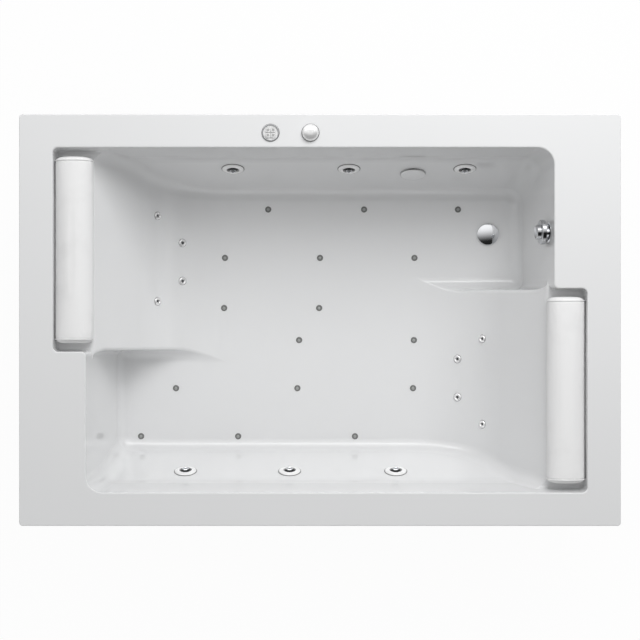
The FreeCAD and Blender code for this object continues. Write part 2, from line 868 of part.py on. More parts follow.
def overflow_base():
    """Flange, neck and sleeve of the overflow, with the spindle's bore."""
    return turned([
        (6 + moving_clearance, 4), (14, overflow_standoff - 4), (16, overflow_standoff - 4), (16, 4),
        (overflow_flange_radius - 3, 4), (overflow_flange_radius, 1), (overflow_flange_radius, 0),
        (overflow_sleeve_radius, 0), (overflow_sleeve_radius, -wall - 10), (6 + moving_clearance, -wall - 10),
    ])


def overflow_body(place, inward):
    """Elbow behind the foot wall that leads to the overflow pipe."""
    chamber = seated(turned([
        (overflow_sleeve_radius, -wall), (overflow_flange_radius - 4, -wall),
        (overflow_flange_radius - 4, -wall - 36), (0, -wall - 36), (0, -wall - 14),
        (overflow_sleeve_radius, -wall - 14),
    ]), place, inward)
    start = overflow_pipe_top()
    room = turned([(0, 0), (overflow_sleeve_radius, 0), (overflow_sleeve_radius, -wall - 14), (0, -wall - 14)])
    outlet = rod(start + Vector(0, 0, overflow_flange_radius), start, overflow_pipe_radius + 3)
    return joined([chamber, outlet]).cut(seated(room, place, inward))


def overflow_pipe_top():
    place, inward = overflow_seat()
    middle = place - inward * (wall + 20)
    return middle - Vector(0, 0, overflow_flange_radius + 16)


def overflow_knob(place, inward):
    """Turning ring and front cap on a spindle; the water enters behind the ring."""
    low = overflow_standoff
    ring_top = low + overflow_ring_height
    top = ring_top + overflow_cap_height
    knob = turned([
        (0, top), (overflow_cap_radius - 3, top), (overflow_cap_radius, top - 3),
        (overflow_cap_radius, ring_top + 1), (overflow_ring_radius - 5, ring_top),
        (overflow_ring_radius, ring_top - 4), (overflow_ring_radius, low), (overflow_ring_radius - 4, low),
        (overflow_ring_radius - 4, ring_top - 5), (10, ring_top - 5), (10, low - 3), (6, low - 3),
        (6, -wall - 8), (0, -wall - 8),
    ])
    return seated(knob, place, inward)


# ---------------------------------------------------------------- controls

def on_rim(shape, x):
    return shape.translated(Vector(x, control_line, rim_height))


def keypad_bezel():
    """Bright ring round the keys."""
    inner = keypad_radius - 3.5
    return on_rim(turned([
        (inner, 0), (keypad_radius, 0), (keypad_radius, keypad_height - 2), (keypad_radius - 1.5, keypad_height),
        (inner, keypad_height),
    ]), keypad_x)


def button_places():
    step = (button_size + button_gap) / 2
    return [Vector(x, y, 0) for y in (step, -step) for x in (-step, step)]


def button(place):
    """One key: a rounded square cap with its plunger."""
    half = button_size / 2
    low = keypad_height - 3.0
    cap = block((-half, half), (-half, half), (low, keypad_height))
    cap = cap.makeFillet(3.0, picked(cap, lambda box: box.ZLength > 1))
    plunger = block((-2, 2), (-2, 2), (low - 4, low))
    return on_rim(joined([cap, plunger]).translated(place), keypad_x)


def keypad_body():
    """Sealed housing through the rim with a well for each key."""
    inner = keypad_radius - 3.5
    floor = keypad_height - 3.0 - button_travel - moving_clearance
    body = turned([
        (0, floor), (inner, floor), (inner, 0), (keypad_body_radius, 0),
        (keypad_body_radius, -keypad_body_depth), (0, -keypad_body_depth),
    ])
    reach = 2 + moving_clearance
    deep = keypad_height - 7.0 - button_travel - moving_clearance
    for place in button_places():
        well = block((-reach, reach), (-reach, reach), (deep, keypad_height))
        body = body.cut(well.translated(place))
    return on_rim(body, keypad_x)


def regulator_base():
    """Ring on the rim and the air valve body under it."""
    bore = 5 + moving_clearance
    return on_rim(turned([
        (bore, regulator_base_height), (regulator_base_radius - 2, regulator_base_height),
        (regulator_base_radius, regulator_base_height - 2), (regulator_base_radius, 0),
        (regulator_body_radius, 0), (regulator_body_radius, -regulator_body_depth),
        (0, -regulator_body_depth), (0, -20), (bore, -20),
    ]), regulator_x)


def regulator_knob():
    """Domed knob with two flats for the fingers."""
    low = regulator_base_height + moving_clearance
    top = low + regulator_knob_height
    radius = regulator_knob_radius
    knob = turned([
        (0, top), (radius * 0.5, top - 0.8), (radius * 0.8, top - 3), (radius - 1, top - 7), (radius, low + 2),
        (radius, low), (5, low), (5, low - 20), (0, low - 20),
    ])
    for side in (1, -1):
        inner, outer = sorted((side * radius * 0.86, side * radius * 2))
        knob = knob.cut(block((-radius, radius), (inner, outer), (low + 4, top + 1)))
    return on_rim(knob, regulator_x)


# ---------------------------------------------------------------- pillows

def pillow_section(y, width, height):
    """Half-round section: flat under side, two side arcs and a crown arc."""
    half = width / 2
    middle_x = recess_x - pillow_clearance - pillow_width / 2
    low = ledge_z + pillow_clearance

    def at(x, z):
        return Vector(middle_x + x * half, y, low + z * height)

    edges = [
        line(at(-0.84, 0.0), at(0.84, 0.0)),
        arc(at(0.84, 0.0), at(0.99, 0.20), at(0.95, 0.48)),
        arc(at(0.95, 0.48), at(0.78, 0.76), at(0.45, 0.94)),
        arc(at(0.45, 0.94), at(0.0, 1.0), at(-0.45, 0.94)),
        arc(at(-0.45, 0.94), at(-0.78, 0.76), at(-0.95, 0.48)),
        arc(at(-0.95, 0.48), at(-0.99, 0.20), at(-0.84, 0.0)),
    ]
    return Part.Wire(edges)


def pillow():
    """Padded half-round headrest with a seam near each end and softly swollen ends."""
    middle_y = (recess_end - open_half_width) / 2
    reach = pillow_length / 2
    seam = reach - pillow_seam_inset
    pinch = 2 * pillow_seam_pinch
    stations = (
        (reach, 2.6 * pinch), (reach - 4, pinch), (seam, pinch),
        (seam - 4, 0.3 * pinch), (seam - 60, 0.0),
    )
    sections = []
    for away, less in stations:
        sections.append(pillow_section(middle_y - away, pillow_width - less, pillow_height - less))
    for away, less in reversed(stations):
        sections.append(pillow_section(middle_y + away, pillow_width - less, pillow_height - less))
    body = Part.makeLoft(sections, True, True)
    for stud in pillow_studs(stud_radius + pillow_clearance, stud_height + pillow_clearance):
        body = body.cut(stud)
    return body


def pillow_studs(radius, height):
    """Push-in studs on the ledge that keep the pillow in place."""
    x = recess_x - pillow_clearance - pillow_width / 2
    y = (recess_end - open_half_width) / 2
    places = [Vector(x, y + side * stud_spacing / 2, ledge_z) for side in (-1, 1)]
    return [Part.makeCylinder(radius, height, place) for place in places]


# ---------------------------------------------------------------- steel frame

def square_tube(start, end, size):
    """Hollow square tube along X, Y or Z."""
    run = end - start
    along = Vector(abs(run.x), abs(run.y), abs(run.z)).normalize()
    half = Vector(1, 1, 1) - along
    low = Vector(min(start.x, end.x), min(start.y, end.y), min(start.z, end.z))

    def bar(width, extra):
        side = half * width + along * (run.Length + 2 * extra)
        return Part.makeBox(side.x, side.y, side.z, low - half * (width / 2) - along * extra)

    return bar(size, 0).cut(bar(size - 2 * tube_wall, 1))


def stem_holes():
    holes = [Part.makeCylinder(foot_stem_radius + hole_clearance, 3 * tube_wall, place - Vector(0, 0, tube_wall))
             for place in foot_places(frame_bottom)]
    return Part.makeCompound(holes)


def base_side_tubes():
    """Long tubes of the base, one on each side."""
    level = frame_top - base_tube / 2
    reach = frame_end + base_tube / 2
    tubes = []
    for side in (-1, 1):
        y = side * frame_line
        tubes.append(square_tube(Vector(-reach, y, level), Vector(reach, y, level), base_tube).cut(stem_holes()))
    return tubes


def base_cross_tubes():
    """Tubes welded between the long ones: one at each end and four under the basin floor."""
    level = frame_top - base_tube / 2
    inner = frame_line - base_tube / 2
    tubes = []
    for x in (-frame_end, -outer_bay, -inner_bay, inner_bay, outer_bay, frame_end):
        tubes.append(square_tube(Vector(x, -inner, level), Vector(x, inner, level), base_tube).cut(stem_holes()))
    return tubes


def foot_places(height):
    places = []
    for side in (-1, 1):
        for x in (-frame_end + base_tube, -side_foot_place, side_foot_place, frame_end - base_tube):
            places.append(Vector(x, side * frame_line, height))
        for x in (-outer_bay, outer_bay):
            places.append(Vector(x, side * centre_foot_place, height))
    return places


def top_rails():
    """Rails under the rim all round."""
    level = under_rim - top_tube / 2
    reach = frame_end + top_tube / 2
    inner = frame_line - top_tube / 2
    tubes = []
    for side in (-1, 1):
        tubes.append(square_tube(Vector(-reach, side * frame_line, level),
                                 Vector(reach, side * frame_line, level), top_tube))
        tubes.append(square_tube(Vector(side * frame_end, -inner, level),
                                 Vector(side * frame_end, inner, level), top_tube))
    return tubes


def uprights():
    """Posts from the base frame to the rails."""
    places = [(x, y) for x in (-frame_end, frame_end) for y in (-frame_line, frame_line)]
    places += [(-mid_upright, frame_line), (mid_upright, -frame_line)]
    top = under_rim - top_tube
    return [square_tube(Vector(x, y, frame_top), Vector(x, y, top), top_tube) for x, y in places]


def foot_pads():
    pad = turned([
        (0, 0), (foot_pad_radius, 0), (foot_pad_radius, 3), (foot_stem_radius + 5, foot_pad_height),
        (0, foot_pad_height),
    ])
    return [pad.translated(place) for place in foot_places(0)]


def foot_stems():
    top = frame_bottom + tube_wall + 10
    return [Part.makeCylinder(foot_stem_radius, top - foot_pad_height, place)
            for place in foot_places(foot_pad_height)]


def foot_nuts():
    """Hexagon lock nuts under the tubes."""
    corners = [Vector(foot_nut_radius * cos(60 * index), foot_nut_radius * sin(60 * index), 0) for index in range(7)]
    nut = Part.Face(Part.makePolygon(corners)).extrude(Vector(0, 0, foot_nut_height))
    nut = nut.cut(Part.makeCylinder(foot_stem_radius, foot_nut_height))
    return [nut.translated(place) for place in foot_places(frame_bottom - foot_nut_height)]


def floor_stiffener():
    """Board bonded under the flat floor, cleared round every fitting."""
    edge = floor_fillet + 10
    y = long_wall_y(basin_depth) - edge
    middle = block((-flat_half_length, flat_half_length), (-y, y), (frame_top, under_floor))
    inner = step_offset + floor_fillet + wall
    pocket = block((0, foot_wall_x(floor_z, 0.0) - edge), (inner, y), (frame_top, under_floor))
    board = joined([middle, pocket, half_turned(pocket)])
    holes = [Part.makeCylinder(air_body_radius + 4, floor_board, Vector(place.x, place.y, frame_top))
             for place, inward in air_seats()]
    holes.append(Part.makeCylinder(drain_flange_radius + 6, floor_board, Vector(drain_x, drain_y, frame_top)))
    return board.cut(Part.makeCompound(holes))


def equipment_boards():
    """Boards on the frame under the backrests for the pump and the blower."""
    inner = outer_bay - base_tube / 2
    outer = frame_end + base_tube / 2
    board = block((inner, outer), (base_tube / 2 - frame_line, pump_front + 20), (frame_top, under_floor))
    return [board, half_turned(board)]


# ---------------------------------------------------------------- pump, blower and control box

def along_pump(profile):
    """A turned form on the pump's axis, measured back from the pump's front face."""
    place = Vector(pump_x, pump_front, pump_axis_height)
    shape = turned(profile)
    shape.Placement = Placement(place, Rotation(Vector(0, 0, 1), Vector(0, -1, 0)))
    return shape


def pump_volute():
    """Spiral wet end with the suction port in front and the discharge on top."""
    drum = along_pump([(0, 0), (volute_radius - 10, 0), (volute_radius, 10), (volute_radius, volute_width - 8),
                       (volute_radius - 6, volute_width), (0, volute_width)])
    port = along_pump([(0, -pump_port_length), (pump_port_radius, -pump_port_length), (pump_port_radius, 0), (0, 0)])
    start, end = discharge_ends()
    return joined([drum, port, rod(start, end, manifold_radius + 6)])


def discharge_ends():
    x = pump_x + discharge_offset
    y = pump_front - volute_width / 2
    return Vector(x, y, pump_axis_height), Vector(x, y, pump_axis_height + volute_radius + discharge_length)


def pump_motor():
    """Motor with cooling ribs and a fan cowl."""
    back = volute_width + motor_length
    core = along_pump([
        (0, volute_width), (motor_radius + 8, volute_width), (motor_radius + 8, volute_width + 12),
        (motor_radius, volute_width + 12), (motor_radius, back - 50), (motor_radius + 7, back - 50),
        (motor_radius + 7, back - 8), (motor_radius - 2, back), (0, back),
    ])
    rib = Part.makeBox(motor_radius + 6, 2.5, motor_length - 62, Vector(0, -1.25, volute_width + 12))
    ribs = []
    for index in range(motor_ribs):
        turned_rib = rib.rotated(Vector(0, 0, 0), Vector(0, 0, 1), 360.0 * (index + 0.5) / motor_ribs)
        turned_rib.Placement = core.Placement.multiply(turned_rib.Placement)
        ribs.append(turned_rib)
    return joined([core] + ribs)


def terminal_box():
    """Wiring box on top of the motor."""
    low = pump_axis_height + motor_radius + 6
    middle = pump_front - volute_width - motor_length / 2
    box = block((pump_x - 36, pump_x + 36), (middle - 45, middle + 45), (low, low + 34))
    return box.makeFillet(4, picked(box, lambda box: box.ZLength > 4))


def pump_cradle():
    """Foot plate with two saddles under the motor."""
    front = pump_front - volute_width - 20
    back = front - motor_length + cradle_overhang
    plate = block((pump_x - cradle_half_width, pump_x + cradle_half_width), (back, front),
                  (under_floor, under_floor + 8))
    saddles = []
    for y in (front - 12, back):
        saddles.append(block((pump_x - 50, pump_x + 50), (y, y + 12), (under_floor, pump_axis_height - 20)))
    room = along_pump([(0, volute_width), (motor_radius + 6, volute_width),
                       (motor_radius + 6, volute_width + motor_length), (0, volute_width + motor_length)])
    return joined([plate] + saddles).cut(room)


def blower_housing():
    """Flat scroll casing on the board with its outlet towards the loop."""
    place = Vector(-blower_x, blower_y, under_floor)
    drum = turned([(0, 0), (blower_radius, 0), (blower_radius, blower_height - 14),
                   (blower_radius - 14, blower_height), (0, blower_height)]).translated(place)
    start = Vector(-blower_loop_x, blower_y, blower_axis())
    return joined([drum, rod(start, blower_outlet(), blower_pipe_radius + 4)])


def blower_axis():
    return under_floor + blower_height / 2


def blower_outlet():
    return Vector(-blower_loop_x, blower_y - blower_radius, blower_axis())


def blower_motor():
    low = under_floor + blower_height
    top = low + blower_motor_height
    return turned([
        (0, low), (blower_motor_radius, low), (blower_motor_radius, top - 16), (blower_motor_radius - 14, top),
        (0, top),
    ]).translated(Vector(-blower_x, blower_y, 0))


def control_box():
    """Sealed box with a raised lid and the cable entry in its under side."""
    back = box_plate_x() + plate_thickness
    y = (box_middle - box_length / 2, box_middle + box_length / 2)
    z = (box_bottom, box_bottom + box_height)
    body = block((back, back + box_depth - 12), y, z)
    body = body.makeFillet(box_corner, picked(body, lambda box: box.XLength > wall))
    lid = block((back + box_depth - 12, back + box_depth), (y[0] - 3, y[1] + 3), (z[0] - 3, z[1] + 3))
    lid = lid.makeFillet(box_corner, picked(lid, lambda box: box.XLength > wall))
    bore = Part.makeCylinder(gland_bore, gland_depth, gland_place())
    return joined([body, lid]).cut(bore)


def box_plate_x():
    return -frame_end + base_tube / 2


def gland_place():
    return Vector(box_plate_x() + plate_thickness + (box_depth - 12) / 2, box_middle, box_bottom)


def gland():
    """Round cable gland at the entry."""
    return turned([
        (gland_bore, 0), (gland_bore + 7, 0), (gland_bore + 7, -7), (gland_bore + 4, -16), (gland_bore, -16),
    ]).translated(gland_place())


def box_plate():
    """Steel plate on the end frame that carries the control box."""
    x = box_plate_x()
    half = box_length / 2 + 15
    return block((x, x + plate_thickness), (box_middle - half, box_middle + half), (frame_bottom, under_rim))


# ---------------------------------------------------------------- pipes

def pressure_pipes():
    """Discharge, trunk behind the end wall, and a manifold along each side with its risers."""
    start = discharge_ends()[1]
    bend = 2.5 * manifold_radius
    trunk = pipe([start, Vector(start.x, start.y, trunk_height), Vector(trunk_x, start.y, trunk_height)],
                 manifold_radius, manifold_radius)
    runs = [trunk]
    for side, places in ((1, rear_jet_places), (-1, front_jet_places)):
        line_y = side * manifold_line
        end = min(places) if side < 0 else -max(x for x, y in back_jet_places)
        runs.append(pipe([Vector(trunk_x, start.y, trunk_height), Vector(trunk_x, line_y, trunk_height),
                          Vector(trunk_x, line_y, manifold_height), Vector(end - 30, line_y, manifold_height)],
                         manifold_radius, bend))
    for place, inward in jet_seats():
        top = axis_point(place, inward, manifold_line) - Vector(0, 0, jet_inlet_drop)
        runs.append(rod(Vector(top.x, top.y, manifold_height), top, manifold_radius * 0.8))
    return joined(runs)


def suction_pipe():
    """From the suction fitting down, round the rear foot pocket and into the pump."""
    place, inward = suction_seat()
    start = axis_point(place, inward, suction_drop_line) - Vector(0, 0, suction_bore + 24)
    end = Vector(pump_x, pump_front + pump_port_length, pump_axis_height)
    return pipe([
        start, Vector(start.x, start.y, suction_run_height), Vector(trunk_x, start.y, suction_run_height),
        Vector(trunk_x, end.y + 4 * suction_pipe_radius, suction_run_height),
        Vector(pump_x, end.y + 4 * suction_pipe_radius, pump_axis_height), end,
    ], suction_pipe_radius, 1.6 * suction_pipe_radius)


def venturi_line():
    """Air line from the regulator round the foot end to every water jet."""
    bend = 5 * air_line_radius
    y = jet_air_line()
    z = air_line_height
    far = box_plate_x() + plate_thickness + 4 * air_line_radius
    loop = pipe([Vector(max(rear_jet_places), y, z), Vector(far, y, z), Vector(far, -y, z),
                 Vector(max(front_jet_places), -y, z)], air_line_radius, bend)
    runs = [loop]
    valve = Vector(regulator_x, control_line, rim_height - regulator_body_depth)
    runs.append(pipe([valve, Vector(valve.x, valve.y, z + bend), Vector(valve.x, y, z)], air_line_radius, bend / 2))
    for place, inward in jet_seats():
        low = axis_point(place, inward, jet_air_line()) + Vector(0, 0, jet_inlet_drop)
        runs.append(rod(low, Vector(low.x, low.y, z), air_line_radius * 0.8))
    return joined(runs)


def air_pipes():
    """A row under each line of injectors, the header across them and its sockets."""
    runs = []
    for y, places in air_jet_rows:
        end = Vector(max(places) + 2 * air_row_radius, y, air_row_height)
        runs.append(rod(Vector(-air_header_x, y, air_row_height), end, air_row_radius))
    for place, inward in air_seats():
        end = place - inward * air_body_length
        runs.append(rod(Vector(end.x, end.y, air_row_height), end, air_stem_radius + 1))
    lines = [y for y, places in air_jet_rows]
    runs.append(rod(Vector(-air_header_x, min(lines) - 16, air_row_height),
                    Vector(-air_header_x, max(lines) + 16, air_row_height), air_header_radius))
    return joined(runs)


def blower_pipe():
    """Loop above the water line that keeps water out of the blower."""
    start = blower_outlet()
    low_y = start.y - 60
    far_y = pump_front * -1 - 50
    bend = 1.5 * blower_pipe_radius
    return pipe([
        start, Vector(start.x, low_y, start.z), Vector(start.x, low_y, blower_loop_height),
        Vector(start.x, far_y, blower_loop_height), Vector(start.x, far_y, air_row_height),
        Vector(-air_header_x - air_header_radius, far_y, air_row_height),
    ], blower_pipe_radius, bend)


def back_jet_hoses():
    """Hose from each manifold end along the four micro jets of its backrest."""
    hoses = []
    seats = back_jet_seats()
    for group in (seats[:4], seats[4:]):
        away = back_jet_length + back_hose_radius + back_hose_standoff
        ends = [place - inward * away for place, inward in group]
        side = math.copysign(1, ends[0].y)
        start = Vector(ends[0].x, side * (manifold_line - manifold_radius), manifold_height)
        first = ends[0] + Vector(0, side * 4 * back_hose_radius, 0)
        last = ends[-1] - Vector(0, side * 1.5 * back_hose_radius, 0)
        hose = pipe([start, first] + ends[1:-1] + [ends[-1], last], back_hose_radius, 1.4 * back_hose_radius)
        nipples = [rod(place - inward * back_jet_length, end, back_hose_radius * 0.8)
                   for (place, inward), end in zip(group, ends)]
        hoses.append(joined([hose] + nipples))
    return hoses


def overflow_pipe():
    """Pipe from the overflow elbow down to the trap."""
    start = overflow_pipe_top()
    level = under_floor - 2 * overflow_pipe_radius
    side = Vector(drain_x + trap_radius, drain_y, level)
    return pipe([start, Vector(start.x, start.y, level), Vector(start.x - 60, drain_y, level), side],
                overflow_pipe_radius, 1.6 * overflow_pipe_radius)


# ---------------------------------------------------------------- nodes

def build():
    """Every node by name; a list is a node of several separate solids."""
    nodes = {"shell": shell()}
    seats = jet_seats()
    nodes["jet_rings"] = [seated(jet_ring(), *seat) for seat in seats]
    nodes["jet_lock_nuts"] = [seated(jet_nut(), *seat) for seat in seats]
    nodes["jet_bodies"] = [jet_body(*seat) for seat in seats]
    for index, seat in enumerate(seats):
        nodes["jet_nozzle_%d" % (index + 1)] = seated(jet_nozzle(), *seat)
    nodes["suction_cover"] = seated(suction_cover(), *suction_seat())
    nodes["suction_body"] = suction_body(*suction_seat())
    nodes["back_jet_rings"] = [seated(back_jet_cap(), *seat) for seat in stood_off(back_jet_seats(), back_jet_ring)]
    nodes["back_jet_bodies"] = [seated(back_jet_valve(), *seat) for seat in back_jet_seats()]
    nodes["air_jet_caps"] = [seated(air_cap(), *seat) for seat in stood_off(air_seats(), air_cap_radius)]
    nodes["air_jet_valves"] = [seated(air_valve(), *seat) for seat in air_seats()]
    nodes["drain_flange"] = drain_flange()
    nodes["drain_plug"] = drain_plug()
    nodes["drain_trap"] = trap()
    nodes["overflow_flange"] = seated(overflow_base(), *overflow_seat())
    nodes["overflow_body"] = overflow_body(*overflow_seat())
    nodes["overflow_knob"] = overflow_knob(*overflow_seat())
    nodes["overflow_pipe"] = overflow_pipe()
    nodes["keypad_bezel"] = keypad_bezel()
    nodes["keypad_body"] = keypad_body()
    for index, place in enumerate(button_places()):
        nodes["keypad_button_%d" % (index + 1)] = button(place)
    nodes["air_regulator_base"] = regulator_base()
    nodes["air_regulator_knob"] = regulator_knob()
    nodes["pillow_front"] = pillow()
    nodes["pillow_rear"] = half_turned(pillow())
    studs = pillow_studs(stud_radius, stud_height)
    nodes["pillow_studs"] = studs + [half_turned(stud) for stud in studs]
    nodes["floor_stiffener"] = floor_stiffener()
    nodes["base_side_tubes"] = base_side_tubes()
    nodes["base_cross_tubes"] = base_cross_tubes()
    nodes["top_rails"] = top_rails()
    nodes["uprights"] = uprights()
    nodes["foot_pads"] = foot_pads()
    nodes["foot_stems"] = foot_stems()
    nodes["foot_lock_nuts"] = foot_nuts()
    nodes["equipment_boards"] = equipment_boards()
    nodes["pump_volute"] = pump_volute()
    nodes["pump_motor"] = pump_motor()
    nodes["pump_terminal_box"] = terminal_box()
    nodes["pump_cradle"] = pump_cradle()
    nodes["blower_housing"] = blower_housing()
    nodes["blower_motor"] = blower_motor()
    nodes["control_box"] = control_box()
    nodes["control_box_gland"] = gland()
    nodes["control_box_plate"] = box_plate()
    nodes["pressure_pipes"] = pressure_pipes()
    nodes["suction_pipe"] = suction_pipe()
    nodes["venturi_line"] = venturi_line()
    nodes["air_pipes"] = air_pipes()
    nodes["blower_pipe"] = blower_pipe()
    nodes["back_jet_hoses"] = back_jet_hoses()
    return nodes


def main():
    os.makedirs("parts", exist_ok=True)
    for name, shape in build().items():
        if isinstance(shape, list):
            shape = Part.makeCompound(shape)
        solids = len(shape.Solids)
        print("%-22s solids %2d valid %s volume %.0f" % (name, solids, shape.isValid(), shape.Volume))
        shape.exportStep("parts/%s.step" % name)


if __name__ == "__main__":
    main()
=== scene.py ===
"""Jetted bathtub: the finishes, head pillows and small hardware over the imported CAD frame."""

import json
from itertools import product
from math import cos, pi, radians, sin

import bmesh
import bpy
from bpy.props import FloatProperty, FloatVectorProperty, IntProperty, PointerProperty
from mathutils import Matrix, Vector
from mathutils.kdtree import KDTree


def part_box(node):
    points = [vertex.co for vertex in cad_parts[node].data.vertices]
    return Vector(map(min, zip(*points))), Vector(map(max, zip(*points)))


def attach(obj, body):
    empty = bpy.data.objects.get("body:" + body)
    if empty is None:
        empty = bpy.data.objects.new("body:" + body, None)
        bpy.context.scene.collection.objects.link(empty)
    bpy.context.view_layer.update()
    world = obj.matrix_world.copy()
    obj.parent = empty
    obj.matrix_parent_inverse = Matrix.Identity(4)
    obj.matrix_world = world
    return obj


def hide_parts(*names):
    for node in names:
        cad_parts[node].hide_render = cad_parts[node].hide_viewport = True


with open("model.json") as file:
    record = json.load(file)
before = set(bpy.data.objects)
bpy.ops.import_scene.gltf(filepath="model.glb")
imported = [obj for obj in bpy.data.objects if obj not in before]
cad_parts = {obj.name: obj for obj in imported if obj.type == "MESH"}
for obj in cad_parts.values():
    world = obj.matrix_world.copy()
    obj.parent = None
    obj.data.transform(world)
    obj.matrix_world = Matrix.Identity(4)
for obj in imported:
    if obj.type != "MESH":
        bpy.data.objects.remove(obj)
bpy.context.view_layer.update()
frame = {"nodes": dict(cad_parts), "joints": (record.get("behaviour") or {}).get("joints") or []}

bl_info = {
    "name": "Jetted bathtub",
    "version": (1, 0, 0),
    "blender": (4, 5, 0),
    "location": "3D View > Sidebar > Bathtub",
    "description": "Finishes, head pillows, small hardware and a studio for a jetted bathtub",
    "category": "Object",
}

NODES = frame["nodes"]
JOINTS = {joint["name"]: joint for joint in frame["joints"]}
MM = 0.001
MERGED = 0.01 * MM  # points nearer than this are one
JETS = range(1, 7)
KEYS = range(1, 5)


# ---------------------------------------------------------------- settings


def shade(name, description, *default):
    return FloatVectorProperty(
        name=name, description=description, subtype="COLOR", default=default, min=0, max=1,
    )


def length(name, description, default, least, most):
    return FloatProperty(
        name=name, description=description, default=default, min=least, max=most, unit="LENGTH",
    )


class TubColours(bpy.types.PropertyGroup):
    acrylic: shade("Acrylic", "Colour of the polished shell", 0.80, 0.805, 0.81)
    laminate: shade("Laminate", "Colour of the glass fibre under the shell", 0.50, 0.50, 0.43)
    trim: shade("Trim", "Colour of the white moulded fittings", 0.95, 0.95, 0.95)
    pillow: shade("Pillow", "Colour of the pillow covers", 0.86, 0.86, 0.86)
    air_cap: shade("Air caps", "Colour of the air jets in the floor", 0.17, 0.175, 0.17)
    keys: shade("Keys", "Colour of the four keys", 0.86, 0.86, 0.86)
    chrome: shade("Chrome", "Colour of the bright plated parts", 0.83, 0.84, 0.86)


class TubSizes(bpy.types.PropertyGroup):
    pillow_swell: length("Pillow swell", "Furthest that a point moves", 0.009, 0.001, 0.03)
    pillow_slack: length("Pillow slack", "Room on each side of the empty cover", 0.0015, 0, 0.01)
    pillow_weave: length("Pillow weave", "Spacing of the cover's points", 0.004, 0.003, 0.008)
    pillow_seam: length("Pillow seam", "From each end to its seam", 0.009, 0.002, 0.05)
    pillow_bulge: length("Pillow bulge", "How far the ends swell past their seams", 0.012, 0, 0.03)
    pillow_roll: length("Pillow roll", "Length over which each end rounds off", 0.026, 0.005, 0.06)
    piping: length("Piping", "Radius of the piping in the pillow seams", 0.0021, 0.0005, 0.005)
    camera_height: length("Camera height", "Height of the camera over the ground", 4.79, 1, 20)
    lens: FloatProperty(
        name="Lens", description="Focal length on a 36 mm sensor, in millimetres",
        default=74.7, min=10, max=300,
    )
    lamp_power: FloatProperty(
        name="Main lamp", description="Power of the large soft lamp",
        default=107, min=0, unit="POWER",
    )
    steps: IntProperty(
        name="Fill steps", description="Frames that the pillow filling runs for",
        default=20, min=1, max=60,
    )


# ---------------------------------------------------------------- shader maths


class Value:
    """The output of a shader node, which takes part in plain arithmetic."""

    def __init__(self, paint, socket):
        self.paint = paint
        self.socket = socket

    def out(self, name):
        """Another output of the same node."""
        return Value(self.paint, self.socket.node.outputs[name])

    def maths(self, operation, first, second=0.0):
        return self.paint.node("ShaderNodeMath", {"operation": operation}, {0: first, 1: second})

    def __add__(self, other):
        return self.maths("ADD", self, other)

    def __sub__(self, other):
        return self.maths("SUBTRACT", self, other)

    def __rsub__(self, other):
        return self.maths("SUBTRACT", other, self)

    def __mul__(self, other):
        return self.maths("MULTIPLY", self, other)

    __rmul__ = __mul__

    def least(self, other):
        return self.maths("MINIMUM", self, other)

    def most(self, other):
        return self.maths("MAXIMUM", self, other)

    def wave(self):
        return self.maths("SINE", self)

    def ease(self, low, high, start=0.0, end=1.0):
        """Goes smoothly from start to end as the value goes from low to high."""
        return self.paint.node(
            "ShaderNodeMapRange", {"interpolation_type": "SMOOTHSTEP", "clamp": True},
            {"Value": self, "From Min": low, "From Max": high, "To Min": start, "To Max": end},
        )

    def part(self, letter):
        """The X, Y or Z part of a vector."""
        return self.paint.node("ShaderNodeSeparateXYZ", {}, {0: self}, letter)


class Paint:
    """The nodes that make a material or the world."""

    def __init__(self, painted):
        self.painted = painted
        painted.use_nodes = True
        self.tree = painted.node_tree
        self.tree.nodes.clear()

    def node(self, kind, settings=None, inputs=None, output=0):
        """Makes a node: its settings first, then the values or links of its sockets."""
        made = self.tree.nodes.new(kind)
        for key, value in (settings or {}).items():
            setattr(made, key, value)
        for key, value in (inputs or {}).items():
            if isinstance(value, Value):
                self.tree.links.new(value.socket, made.inputs[key])
            else:
                made.inputs[key].default_value = value
        return Value(self, made.outputs[output]) if len(made.outputs) else made

    def place(self):
        """The point on the piece, in metres."""
        return self.node("ShaderNodeTexCoord", {}, {}, "Object")

    def normal(self):
        return self.node("ShaderNodeTexCoord", {}, {}, "Normal")

    def stretched(self, scale, turn=(0, 0, 0)):
        """The point on the piece, with each axis multiplied for a pattern that runs one way."""
        return self.node(
            "ShaderNodeMapping", {}, {"Vector": self.place(), "Rotation": turn, "Scale": scale}
        )

    def noise(self, scale, detail=3.0, rough=0.55, at=None, warp=0.0):
        return self.node(
            "ShaderNodeTexNoise", {},
            {"Vector": at or self.place(), "Scale": scale, "Detail": detail, "Roughness": rough,
             "Distortion": warp},
        )

    def cells(self, scale, feature="F1", output="Distance", at=None):
        return self.node(
            "ShaderNodeTexVoronoi", {"feature": feature},
            {"Vector": at or self.place(), "Scale": scale}, output,
        )

    def mix(self, first, second, share):
        """A colour between two colours."""
        return self.node(
            "ShaderNodeMix", {"data_type": "RGBA"},
            {0: share, 6: first if isinstance(first, Value) else rgba(first),
             7: second if isinstance(second, Value) else rgba(second)}, 2,
        )

    def shaded(self, colour, share, amount):
        """The colour, darker by up to amount where share is 1."""
        return self.mix(colour, [c * (1 - amount) for c in colour[:3]], share)

    def bump(self, height, distance, strength=1.0, under=None):
        inputs = {"Height": height, "Distance": distance, "Strength": strength}
        if under:
            inputs["Normal"] = under
        return self.node("ShaderNodeBump", {}, inputs)

    def surface(self, **sockets):
        """The finished material. A socket's name has _ for a space."""
        inputs = {name.replace("_", " "): value for name, value in sockets.items()}
        shader = self.node("ShaderNodeBsdfPrincipled", {}, inputs)
        self.node("ShaderNodeOutputMaterial", {}, {"Surface": shader})
        return self.painted


def paint(name):
    return Paint(bpy.data.materials.new(name))


def rgba(colour):
    return (*list(colour)[:3], 1.0)


# ---------------------------------------------------------------- finishes


